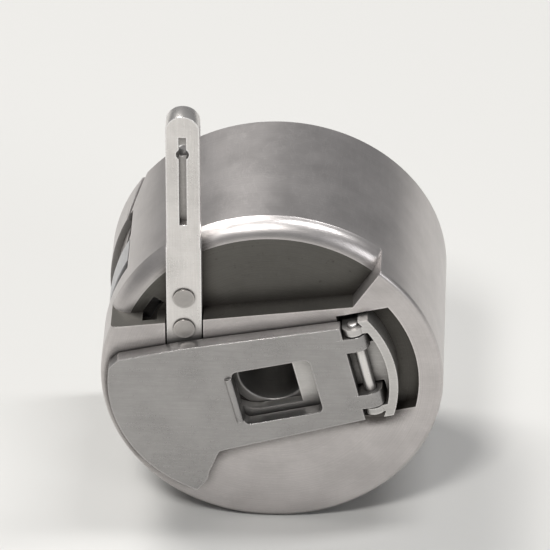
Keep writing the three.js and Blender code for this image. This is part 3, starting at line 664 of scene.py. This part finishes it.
def cup_blank():
    corners = [
        (0, FLOOR_INNER), (CASE_BORE, FLOOR_INNER), (CASE_BORE, 0),
        (CASE_RADIUS, 0), (CASE_RADIUS, FACE_LEVEL), (0, FACE_LEVEL),
    ]
    radii = (0, BORE_CORNER, RIM_INNER_ROUND, RIM_OUTER_ROUND, FACE_ROUND, 0)
    return lathe("case_shell", rounded(corners, radii), CUP_SEGMENTS)


def step_cutter():
    """What the step in the face leaves open: above the slanting line, outside a round-shouldered core."""
    def line(x):
        return STEP_HEIGHT + STEP_SLOPE * x

    region = prism("cutter", [
        (-BEYOND, line(-BEYOND)), (STEP_CORNER, line(STEP_CORNER)), STEP_END, (STEP_END[0] + 2, BEYOND),
        (-BEYOND, BEYOND),
    ], STEP_LEVEL - 2 * SHOULDER, FACE_LEVEL + PAST)
    core = lathe("cutter", [
        (0, STEP_LEVEL - 3 * SHOULDER), (CASE_RADIUS + PAST, STEP_LEVEL - 3 * SHOULDER),
        (CASE_RADIUS + PAST, STEP_LEVEL - SHOULDER),
        *arc((CASE_RADIUS - SHOULDER, STEP_LEVEL - SHOULDER), SHOULDER, 5, 90, 9),
        (0, STEP_LEVEL),
    ], CUP_SEGMENTS)
    return cut(region, core)


def pocket_outline():
    corner = math.degrees(math.asin(POCKET_HALF / POCKET_RADIUS))
    band = arc((0, 0), POCKET_RADIUS, -corner, corner, 18)
    return [(POCKET_LEFT, POCKET_HALF), (POCKET_LEFT, -POCKET_HALF), *band]


def channel_cutters():
    """Room in the face for the slide, the lever's lugs, the coil spring, the jaw and the stop pin."""
    top = FACE_LEVEL + PAST
    yield tilted(block(CHANNEL_LEFT, PIN_U, -CHANNEL_HALF, CHANNEL_HALF, CHANNEL_LEVEL, top))
    yield tilted(prism("cutter", pocket_outline(), CHANNEL_LEVEL, top))
    for middle in (-LUG_ROOM_MIDDLE, LUG_ROOM_MIDDLE):
        low, high = middle - LUG_ROOM_HALF, middle + LUG_ROOM_HALF
        yield tilted(block(LUG_ROOM_LEFT, LUG_ROOM_RIGHT, low, high, LUG_ROOM_LEVEL, top))
    half = COIL_ROOM_HALF
    yield tilted(block(COIL_ROOM_LEFT, COIL_ROOM_RIGHT, -half, half, COIL_ROOM_LEVEL, top))
    yield tilted(block(JAW, JAW_ROOM_RIGHT, -JAW_ROOM_HALF, JAW_ROOM_HALF, FLOOR_INNER - PAST, top))
    yield tilted(rod(STOP_PIN_U, 0, STOP_PIN_SEAT, STOP_PIN_FOOT, top))


def slit_cutter():
    """The thread's slit, slanting from the rim to under the leaf spring."""
    (start, low), (end, high) = SLIT_RIM, SLIT_INNER
    across = math.radians(end - start) * CASE_RADIUS
    along = high - low
    length = math.hypot(across, along)
    lean = math.atan2(across, along)
    slot = block(-length / 2, length / 2, -SLIT_HALF, SLIT_HALF, CASE_BORE - PAST, CASE_RADIUS + PAST)
    move(slot, Matrix.Rotation(math.pi - lean, 4, "Z"))
    return radial(slot, (start + end) / 2, (low + high) / 2)


def paint_case(made):
    """Recess, channel and inside faces get darker copies of the nickel, which paint shade on them."""
    outside, sunk, inner = 0, 1, 2
    face_edge, wall_edge, fit = 0.12, 0.9, 0.02
    for face in made.data.polygons:
        level = face.center.z
        reach = math.hypot(face.center.x, face.center.y)
        below_face = level < FACE_LEVEL - face_edge
        in_step = level > STEP_LEVEL - fit and reach < CASE_RADIUS - wall_edge
        in_channel = level > FLOOR_INNER and reach < POCKET_RADIUS + 0.1
        if level < FLOOR_INNER + 0.05 and reach < CASE_BORE + fit:
            face.material_index = inner
        elif below_face and (in_step or in_channel):
            face.material_index = sunk
        else:
            face.material_index = outside


def finger_room():
    left, right = FINGER_LEFT - FINGER_ROOM_SIDE, FINGER_RIGHT + FINGER_ROOM_SIDE
    return block(left, right, FINGER_FOOT - FINGER_ROOM_FOOT, CASE_RADIUS, STEP_LEVEL, FACE_LEVEL + PAST)


def leaf_seat():
    return sector(
        "cutter", LEAF_SEAT_RADIUS, CASE_RADIUS + PAST, LEAF_SEAT_FROM, LEAF_SEAT_TO,
        LEAF_SEAT_LOW, LEAF_SEAT_HIGH, 48,
    )


def case_shell():
    shell = cut(cup_blank(), step_cutter(), *channel_cutters())
    cut(shell, finger_room())
    under = FLOOR_INNER - PAST
    for height in RIVETS.values():
        cut(shell, rod(FINGER_MIDDLE, height, RIVET_SINK, under, FLOOR_INNER + RIVET_SINK_DEPTH))
        cut(shell, rod(FINGER_MIDDLE, height, RIVET_HOLE, under, STEP_LEVEL + 0.5))
    cut(shell, rod(0, 0, STUD_SEAT, under, FACE_LEVEL + PAST, 96), leaf_seat())
    for angle in SCREWS.values():
        hole = rod(0, 0, SCREW_CLEARANCE, CASE_BORE - PAST, CASE_RADIUS + PAST)
        cut(shell, radial(hole, angle, SCREW_LEVEL))
    eye = sector("cutter", EYE_INNER, EYE_OUTER, EYE_FROM, EYE_TO, under, STEP_LEVEL + PAST, 10)
    cut(shell, slit_cutter(), eye)
    bevel(shell, CASE_BEVEL)
    paint_case(shell)
    indices = [face.material_index for face in shell.data.polygons]
    placed = place(shell, "case", ["case_body"], "case", NICKEL, RECESS_SHADE, INSIDE_SHADE)
    placed.data.polygons.foreach_set("material_index", indices)


STUD_BORE, STUD_RADIUS, STUD_LOW, STUD_HIGH = 2.2, 2.85, 0.3, 13.02
STUD_ROUNDS = (0.18, 0.22, 0.06, 0.15)
STUD_NOTCH_LEVEL, STUD_NOTCH_REACH, ABOVE_STUD = 10.0, 4.0, 14.0
STUD_BEVEL = 0.04


def stud():
    corners = [
        (STUD_BORE, STUD_LOW), (STUD_RADIUS, STUD_LOW), (STUD_RADIUS, STUD_HIGH), (STUD_BORE, STUD_HIGH),
    ]
    made = lathe("stud", rounded(corners, STUD_ROUNDS, 4), 96)
    half = JAW_ROOM_HALF
    cut(made, tilted(block(0, STUD_NOTCH_REACH, -half, half, STUD_NOTCH_LEVEL, ABOVE_STUD)))
    # The stud takes the dark inside copy of the nickel: painted shade in the lever's window.
    place(bevel(made, STUD_BEVEL), "case", ["stud_tube"], "bright_steel", INSIDE_SHADE)


# ---------------------------------------------------------------- finger and rivets

GROOVE_HALF, GROOVE_LOW, GROOVE_HIGH, GROOVE_DEPTH = 0.24, 12.1, 18.9, 0.5
FINGER_EYE, FINGER_EYE_HEIGHT = 0.42, 17.6
FINGER_BEVEL = 0.13
RIVET_SHANK, RIVET_TAIL, RIVET_HEAD, RIVET_TOP = 0.5, 0.78, 0.72, 13.88


def position_finger():
    half = (FINGER_RIGHT - FINGER_LEFT) / 2
    left, right = FINGER_LEFT - FINGER_ROOT, FINGER_RIGHT + FINGER_ROOT
    outline = [(FINGER_LEFT, FINGER_GUIDE), (left, FINGER_GUIDE), (left, FINGER_FOOT)]
    outline += [(right, FINGER_FOOT), (right, FINGER_GUIDE), (FINGER_RIGHT, FINGER_GUIDE)]
    outline += arc((FINGER_MIDDLE, FINGER_TIP - half), half, 0, 180, 20)
    made = prism("finger", outline, FINGER_BACK, FINGER_FRONT)
    groove_left, groove_right = FINGER_MIDDLE - GROOVE_HALF, FINGER_MIDDLE + GROOVE_HALF
    floor = FINGER_FRONT - GROOVE_DEPTH
    back, front = FINGER_BACK - PAST, FINGER_FRONT + PAST
    cut(made, block(groove_left, groove_right, GROOVE_LOW, GROOVE_HIGH, floor, front))
    cut(made, rod(FINGER_MIDDLE, FINGER_EYE_HEIGHT, FINGER_EYE, back, front))
    for height in RIVETS.values():
        cut(made, rod(FINGER_MIDDLE, height, RIVET_HOLE, back, front))
    place(bevel(made, FINGER_BEVEL, 3), "case", ["position_finger"], "bright_steel", FINGER)


def finger_rivets():
    """Two rivets: a flat tail inside the cup, a shank, and a low crowned head on the finger."""
    low, high = FLOOR_INNER + 0.02, FLOOR_INNER + RIVET_SINK_DEPTH - 0.02
    head = FINGER_FRONT + 0.02
    tail_part = [(0, low), (RIVET_TAIL - 0.08, low), (RIVET_TAIL, low + 0.06), (RIVET_TAIL, high)]
    head_part = [(RIVET_SHANK, high), (RIVET_SHANK, head), (RIVET_HEAD - 0.04, head)]
    head_part += arc((0, FINGER_FRONT), RIVET_HEAD, 4, 12, 2)
    crown = [(0.5, RIVET_TOP - 0.025), (0.3, RIVET_TOP - 0.005), (0, RIVET_TOP)]
    for name, height in RIVETS.items():
        made = lathe(f"finger_rivet_{name}_head", tail_part + head_part + crown, 48)
        move(made, Matrix.Translation((FINGER_MIDDLE, height, 0)))
        place(made, "case", [f"finger_rivet_{name}"], "case", RIVET)


# ---------------------------------------------------------------- thread tension

LEAF_INNER, LEAF_OUTER, LEAF_FROM, LEAF_TO, LEAF_LOW, LEAF_HIGH = 10.88, 11.16, 151, 237, 3.1, 9.5
LEAF_HALF, LEAF_TIP_HALF, LEAF_TIP_RISE, LEAF_FOOT_TAPER = 3.2, 1.2, 0.7, 0.9
LEAF_REACH, LEAF_BODY_FROM, LEAF_MIDDLE_ANGLE = 12.2, -3.2, 194
LEAF_EYE, LEAF_BEVEL = 0.68, 0.05
SCREW_END, SCREW_SEAT, SCREW_TOP = 10.5, 11.18, 11.59
SCREW_SHANK, SCREW_HEAD, SCREW_BEVEL = 0.58, 1.2, 0.03
SCREW_SLOT_REACH, SCREW_SLOT_HALF, SCREW_SLOT_FLOOR = 3, 0.16, 11.36


def leaf_outline():
    """The leaf laid flat, tip to the right: a wide body under the screws and a narrow tip over the slit."""
    low, high = SCREW_LEVEL - LEAF_HALF, SCREW_LEVEL + LEAF_HALF
    tip_low = SCREW_LEVEL - LEAF_TIP_HALF + LEAF_TIP_RISE
    tip_high = SCREW_LEVEL + LEAF_TIP_HALF + LEAF_TIP_RISE
    lower_edge = [
        (-LEAF_REACH, low + LEAF_FOOT_TAPER), (LEAF_BODY_FROM, low), (1.6, low), (4.4, tip_low),
        (LEAF_REACH, tip_low),
    ]
    upper_edge = [
        (LEAF_REACH, tip_high), (5.0, tip_high), (2.6, high), (LEAF_BODY_FROM, high),
        (-LEAF_REACH, high - LEAF_FOOT_TAPER),
    ]
    return rounded(lower_edge + upper_edge, (0, 1.5, 1.2, 1.2, 0, 0, 1.0, 1.0, 1.5, 0))


def leaf_spring():
    mask = upright("cutter", leaf_outline(), 0, LEAF_REACH)
    move(mask, Matrix.Rotation(math.radians(LEAF_MIDDLE_ANGLE - 90), 4, "Z"))
    made = sector("leaf_spring", LEAF_INNER, LEAF_OUTER, LEAF_FROM, LEAF_TO, LEAF_LOW, LEAF_HIGH, 64)
    combine(made, [mask], "INTERSECT")
    for name, hole in (("tension", LEAF_EYE), ("set", SCREW_CLEARANCE)):
        cut(made, radial(rod(0, 0, hole, CASE_BORE, CASE_RADIUS + PAST), SCREWS[name], SCREW_LEVEL))
    place(bevel(made, LEAF_BEVEL), "case", ["tension_spring"], "spring_steel", SPRING)


def wall_screw(name, node, body, angle, slot_turn):
    corners = [
        (0, SCREW_END), (SCREW_SHANK, SCREW_END), (SCREW_SHANK, SCREW_SEAT),
        (SCREW_HEAD, SCREW_SEAT), (SCREW_HEAD, SCREW_TOP), (0, SCREW_TOP),
    ]
    made = lathe(name, rounded(corners, (0, 0.12, 0, 0.05, 0.16, 0), 4), 64)
    reach, half = SCREW_SLOT_REACH, SCREW_SLOT_HALF
    cut(made, block(-reach, reach, -half, half, SCREW_SLOT_FLOOR, SCREW_TOP + PAST))
    move(made, Matrix.Rotation(math.radians(slot_turn), 4, "Z"))
    place(radial(bevel(made, SCREW_BEVEL), angle, SCREW_LEVEL), body, [node], "screw_steel", SCREW)


# ---------------------------------------------------------------- latch

BELOW_LATCH, ABOVE_SLIDE, ABOVE_LATCH = 12, 15, 16
SLIDE_BACK, SLIDE_FRONT = 13.1, 13.75
SLIDE_LEFT, SLIDE_HALF, SLIDE_SHOULDER, SLIDE_NECK, SLIDE_RIGHT = -9.2, 2.9, 4.8, 1.6, 7.35
SLIDE_BORE, SLIDE_BORE_U = 2.2, -1.05
COIL_SLOT_LEFT, COIL_SLOT_RIGHT, COIL_SLOT_HALF = -8.4, -4.25, 0.75
SHOE_LEFT, SHOE_RADIUS, SHOE_BAND, SHOE_HALF, SHOE_TOP = 7.25, 8.35, 0.58, 3.9, 14.7
EAR_RADIUS, EAR_RIGHT, EAR_SLANT, EAR_INNER, EAR_THICK = 0.74, 1.0, 0.5, 2.95, 0.5
JAW_HALF, JAW_NECK, JAW_HEEL, JAW_LOW, JAW_HIGH = 1.05, 0.35, 1.05, 10.3, 11.0
PIN_RADIUS, PIN_HALF, PIN_CROWN = 0.38, 3.62, 0.12
SLIDE_PIN_HOLE, LEVER_PIN_HOLE, PIN_HOLE_HALF = 0.4, 0.42, 5
SLIDE_BEVEL, LEVER_BEVEL = 0.07, 0.12

LEVER_BACK, LEVER_FRONT = 14.0, 14.9
LEVER_END, LEVER_END_HALF, LEVER_NECK, LEVER_NECK_HALF = 5.5, 3.75, -5.0, 4.3
TAIL_CENTRE, TAIL_RADIUS, TAIL_TIP = (-1.4, 0.5), 9.3, (-6.4, -6.55)
LUG_RADIUS, LUG_ROOT, LUG_INNER, LUG_THICK = 0.78, 4.9, 1.75, 1.1
LUG_HEEL = ((225, 0.78), (275, 1.3), (299, 1.72))
WINDOW_LEFT, WINDOW_RIGHT, WINDOW_LOW, WINDOW_HIGH, WINDOW_ROUND = -2.35, 2.95, -2.55, 1.75, 0.4
LIP_WIDTH, LIP_DEPTH, LIP_LOW, LIP_HIGH = 0.5, 0.4, -2.15, 1.35


def cross_rod(name, radius, half, crown=0.0):
    """A bar along v at the latch's hinge."""
    profile = [(0, -half), (radius, -half), (radius, half), (0, half)]
    made = lathe(name, rounded(profile, (0, crown, crown, 0), 4), 48)
    move(made, Matrix.Rotation(-math.pi / 2, 4, "X"))
    return move(made, Matrix.Translation((PIN_U, 0, PIN_LEVEL)))


def shoe_face():
    corner = math.degrees(math.asin(SHOE_HALF / SHOE_RADIUS))
    outer = arc((0, 0), SHOE_RADIUS, -corner, corner, 24)
    return [(SHOE_LEFT, SHOE_HALF), (SHOE_LEFT, -SHOE_HALF), *outer]


def shoe_band():
    inner = SHOE_RADIUS - SHOE_BAND
    outer_corner = math.degrees(math.asin(SHOE_HALF / SHOE_RADIUS))
    inner_corner = math.degrees(math.asin(SHOE_HALF / inner))
    outer = arc((0, 0), SHOE_RADIUS, -outer_corner, outer_corner, 24)
    return outer + arc((0, 0), inner, inner_corner, -inner_corner, 24)


def slide_ear(low):
    right = PIN_U + EAR_RIGHT
    outline = [(PIN_U - EAR_RADIUS, SLIDE_BACK), (right, SLIDE_BACK), (right, SHOE_TOP)]
    outline += [(PIN_U + EAR_SLANT, SHOE_TOP), *arc((PIN_U, PIN_LEVEL), EAR_RADIUS, 45, 180, 12)]
    return upright("cutter", outline, low, low + EAR_THICK)


def slide_plate():
    half, neck = SLIDE_HALF, SLIDE_NECK
    corners = [
        (SLIDE_LEFT, -half), (SLIDE_SHOULDER, -half), (SLIDE_SHOULDER, -neck), (SLIDE_RIGHT, -neck),
        (SLIDE_RIGHT, neck), (SLIDE_SHOULDER, neck), (SLIDE_SHOULDER, half), (SLIDE_LEFT, half),
    ]
    return prism("slide", rounded(corners, (0.8, 0.1, 0.1, 0, 0, 0.1, 0.1, 0.8)), SLIDE_BACK, SLIDE_FRONT)


def slide_cutters():
    """The bore over the stud, its flat side at the jaw, and the slot round the coil spring."""
    low, high = BELOW_LATCH, ABOVE_SLIDE
    yield rod(SLIDE_BORE_U, 0, SLIDE_BORE, low, high)
    yield block(SLIDE_BORE_U, JAW, -SLIDE_BORE, SLIDE_BORE, low, high)
    yield block(COIL_SLOT_LEFT, COIL_SLOT_RIGHT, -COIL_SLOT_HALF, COIL_SLOT_HALF, low, high)


def jaw():
    """The hook that drops into the groove of the machine's pin: a neck and a heel."""
    yield block(JAW, JAW + JAW_NECK, -JAW_HALF, JAW_HALF, JAW_LOW, SLIDE_FRONT)
    yield block(JAW, JAW + JAW_HEEL, -JAW_HALF, JAW_HALF, JAW_LOW, JAW_HIGH)


def latch_slide():
    made = join(slide_plate(), prism("cutter", shoe_face(), SLIDE_BACK, SLIDE_FRONT))
    join(made, prism("cutter", shoe_band(), SLIDE_BACK, SHOE_TOP))
    join(made, slide_ear(-EAR_INNER - EAR_THICK), slide_ear(EAR_INNER))
    cut(made, *slide_cutters())
    join(made, *jaw())
    cut(made, cross_rod("cutter", SLIDE_PIN_HOLE, PIN_HOLE_HALF))
    place(tilted(bevel(made, SLIDE_BEVEL)), "slide", ["latch_slide"], "bright_steel", SLIDE)


def hinge_pin():
    made = cross_rod("hinge_pin", PIN_RADIUS, PIN_HALF, PIN_CROWN)
    place(tilted(made), "slide", ["latch_hinge_pin"], "bright_steel", FINGER)


def lever_outline():
    """The lever's plate: a straight taper at the hinge end, a round tail, and a thumb tab below."""
    (centre_u, centre_v), (tip_u, tip_v) = TAIL_CENTRE, TAIL_TIP
    taper = (LEVER_NECK_HALF - LEVER_END_HALF) / (LEVER_END - LEVER_NECK)
    top = 180 - math.degrees(math.asin((LEVER_NECK_HALF - centre_v) / TAIL_RADIUS))
    bottom = math.degrees(math.atan2(tip_v - centre_v, tip_u - centre_u)) + 360
    corner = centre_u + TAIL_RADIUS * math.cos(math.radians(top))
    neck, half = LEVER_NECK, LEVER_NECK_HALF
    outline = [(LEVER_END, -LEVER_END_HALF), (LEVER_END, LEVER_END_HALF), (neck, half), (corner + 0.5, half)]
    outline += arc(TAIL_CENTRE, TAIL_RADIUS, top + 3, bottom, 40)
    outline += [(tip_u + 0.30, tip_v - 0.02), (tip_u + 0.55, tip_v + 0.22), (tip_u + 0.75, tip_v + 0.7)]
    outline += [(neck + 0.2, -half - 0.3), (neck + 0.42, -half - 0.02), (neck + 0.8, -half + 0.8 * taper)]
    return outline


def lever_lug(low):
    """A hinge lug with a heel that pushes the slide as the lever swings out."""
    outline = [(LUG_ROOT, LEVER_BACK), (PIN_U - LUG_RADIUS, LEVER_BACK)]
    for angle, radius in LUG_HEEL:
        turn = math.radians(angle)
        outline.append((PIN_U + radius * math.cos(turn), PIN_LEVEL + radius * math.sin(turn)))
    outline += arc((PIN_U, PIN_LEVEL), LUG_RADIUS, 0, 90, 12) + [(LUG_ROOT, LEVER_FRONT)]
    return upright("cutter", outline, low, low + LUG_THICK)


def window_lip():
    left, middle = WINDOW_LEFT - LIP_WIDTH, WINDOW_LEFT - LIP_WIDTH / 2
    root = LEVER_FRONT - LIP_DEPTH
    crown = arc((middle, LEVER_FRONT), LIP_WIDTH / 2, 0, 180, 10)
    return upright("cutter", [(left, root), (WINDOW_LEFT, root), *crown], LIP_LOW, LIP_HIGH)


def window_cutter():
    corners = [
        (WINDOW_LEFT, WINDOW_LOW), (WINDOW_RIGHT, WINDOW_LOW),
        (WINDOW_RIGHT, WINDOW_HIGH), (WINDOW_LEFT, WINDOW_HIGH),
    ]
    return prism("cutter", rounded(corners, (WINDOW_ROUND,) * 4), BELOW_LATCH, ABOVE_LATCH)


def latch_lever():
    made = prism("lever", lever_outline(), LEVER_BACK, LEVER_FRONT)
    join(made, lever_lug(-LUG_INNER - LUG_THICK), lever_lug(LUG_INNER), window_lip())
    cut(made, window_cutter(), cross_rod("cutter", LEVER_PIN_HOLE, PIN_HOLE_HALF))
    place(tilted(bevel(made, LEVER_BEVEL, 3)), "lever", ["latch_lever"], "bright_steel", LATCH)


COIL_START, COIL_END, COIL_RADIUS, COIL_WIRE, COIL_LEVEL, COIL_TURNS = -8.28, -5.47, 0.44, 0.1, 13.4, 7
COIL_STEPS_PER_TURN, COIL_SIDES = 28, 10
COIL_END_CLOSING = 0.045


def coil_ring(bm, share):
    """One ring of the wire; the turns lie closer at both ends of the coil."""
    along = COIL_START + (COIL_END - COIL_START) * (share - COIL_END_CLOSING * math.sin(TURN * share))
    angle = TURN * COIL_TURNS * share
    out = Vector((0, math.cos(angle), math.sin(angle)))
    centre = Vector((along, 0, COIL_LEVEL)) + out * COIL_RADIUS
    ring = []
    for k in range(COIL_SIDES):
        turn = TURN * k / COIL_SIDES
        round_wire = out * math.cos(turn) + Vector((math.sin(turn), 0, 0))
        ring.append(bm.verts.new(centre + COIL_WIRE * round_wire))
    return ring


def coil_spring():
    steps = COIL_TURNS * COIL_STEPS_PER_TURN
    bm = bmesh.new()
    rings = [coil_ring(bm, i / steps) for i in range(steps + 1)]
    for a, b in zip(rings, rings[1:]):
        for k in range(COIL_SIDES):
            j = (k + 1) % COIL_SIDES
            bm.faces.new((a[k], a[j], b[j], b[k]))
    bm.faces.new(rings[0])
    bm.faces.new(rings[-1])
    made = place(tilted(new_object("coil_spring", bm)), "case", ["latch_spring"], "spring_steel", SPRING)
    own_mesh(made)


# ---------------------------------------------------------------- bobbin

FLANGE_SKIN, FLANGE_BORE, FLANGE_RADIUS, WEB_DROP = 0.28, 3.05, 10.15, 0.12
HUB_RADIUS, WEB_FROM, WEB_TO, RIM_FROM, RIM_CREST = 3.55, 3.75, 9.3, 9.6, 9.85
FLANGE_HOLES, HOLE_CIRCLE, HOLE_RADIUS = 6, 6.6, 0.9
FRONT_FLANGE, REAR_FLANGE = (11.2, 11.65), (0.25, 0.7)
THREAD_INNER, THREAD_OUTER, THREAD_LOW, THREAD_HIGH = 4.65, 8.8, 0.73, 11.17
THREAD_PITCH, THREAD_SEED, THREAD_SEGMENTS, POINTS_PER_RIDGE = 0.27, 15, 96, 4


def flange_profile(face, back, outward):
    """A raised ring at the bore, a flat web, and a rolled rim; the inner skin follows the outer one."""
    web = face - outward * WEB_DROP
    inner_web = face - outward * FLANGE_SKIN - outward * WEB_DROP
    edge = FLANGE_RADIUS
    hub = [(FLANGE_BORE, back + outward * 0.02), (FLANGE_BORE, face - outward * 0.02)]
    hub += [(FLANGE_BORE + 0.07, face), (HUB_RADIUS, face), (WEB_FROM, web)]
    rim = [(WEB_TO, web), (RIM_FROM, face - outward * 0.02), (RIM_CREST, face)]
    rim += [(edge - 0.07, face - outward * 0.07), (edge, face - outward * 0.2)]
    rim += [(edge - 0.05, face - outward * 0.36), (9.95, back), (9.75, back)]
    return hub + rim + [(9.55, inner_web), (4.7, inner_web), (4.5, back)]


def bobbin_flange(name, node, levels, outward):
    """A stamped disc with six holes; outward is 1 when its outer face is to the front."""
    low, high = levels
    face, back = (high, low) if outward > 0 else (low, high)
    made = lathe(name, flange_profile(face, back, outward), 144)
    for i in range(FLANGE_HOLES):
        turn = TURN * i / FLANGE_HOLES
        x, y = HOLE_CIRCLE * math.cos(turn), HOLE_CIRCLE * math.sin(turn)
        cut(made, rod(x, y, HOLE_RADIUS, low - PAST, high + PAST))
    place(made, "bobbin", [node], "bobbin_steel", BOBBIN)


def wound_profile(draw):
    """The winding's section: ridges along both sides and the outside, each turn a little uneven."""
    corners = [(THREAD_INNER, THREAD_LOW), (THREAD_OUTER, THREAD_LOW)]
    corners += [(THREAD_OUTER, THREAD_HIGH), (THREAD_INNER, THREAD_HIGH)]
    path = [corners[0]]
    for a, b in zip(corners, corners[1:]):
        start, end = Vector(a), Vector(b)
        ridges = round((end - start).length / THREAD_PITCH)
        run = (end - start).normalized()
        out = Vector((run.y, -run.x))
        for r in range(ridges):
            height = THREAD_PITCH * draw.uniform(0.28, 0.45)
            for k in range(1, POINTS_PER_RIDGE + 1):
                share = (r + k / POINTS_PER_RIDGE) / ridges
                dip = height * (1 - math.sin(math.pi * k / POINTS_PER_RIDGE))
                path.append(tuple(start.lerp(end, share) - out * dip))
    return path


def thread_winding():
    """Wound thread: a closed ring with a ridged skin that wavers a little round the bobbin."""
    draw = random.Random(THREAD_SEED)
    bm = bmesh.new()
    rings = []
    for radius, level in wound_profile(draw):
        wave = draw.uniform(0, TURN)
        rings.append([])
        for i in range(THREAD_SEGMENTS):
            turn = TURN * i / THREAD_SEGMENTS
            wobble = 0.02 * math.sin(2 * turn + wave) if radius > THREAD_INNER + 0.5 else 0
            reach = min(radius + wobble, THREAD_OUTER)
            rings[-1].append(bm.verts.new((reach * math.cos(turn), reach * math.sin(turn), level)))
    for a, b in zip(rings, rings[1:] + rings[:1]):
        for i in range(THREAD_SEGMENTS):
            j = (i + 1) % THREAD_SEGMENTS
            bm.faces.new((a[i], a[j], b[j], b[i]))
    place(new_object("wound_thread", bm), "bobbin", ["thread_winding"], "thread", THREAD, smooth=60)


# ---------------------------------------------------------------- build

case_shell()
stud()
position_finger()
finger_rivets()
leaf_spring()
wall_screw("tension_screw_head", "tension_screw", "tension_adjuster", SCREWS["tension"], 20)
wall_screw("set_screw_head", "spring_set_screw", "case", SCREWS["set"], 75)
latch_slide()
hinge_pin()
latch_lever()
coil_spring()
bobbin_flange("front_flange", "bobbin_front_flange", FRONT_FLANGE, 1)
bobbin_flange("rear_flange", "bobbin_rear_flange", REAR_FLANGE, -1)
thread_winding()

for node, material in (("latch_stop_pin", SLIDE), ("bobbin_core", BOBBIN)):
    nodes[node].data.materials.clear()
    nodes[node].data.materials.append(material)
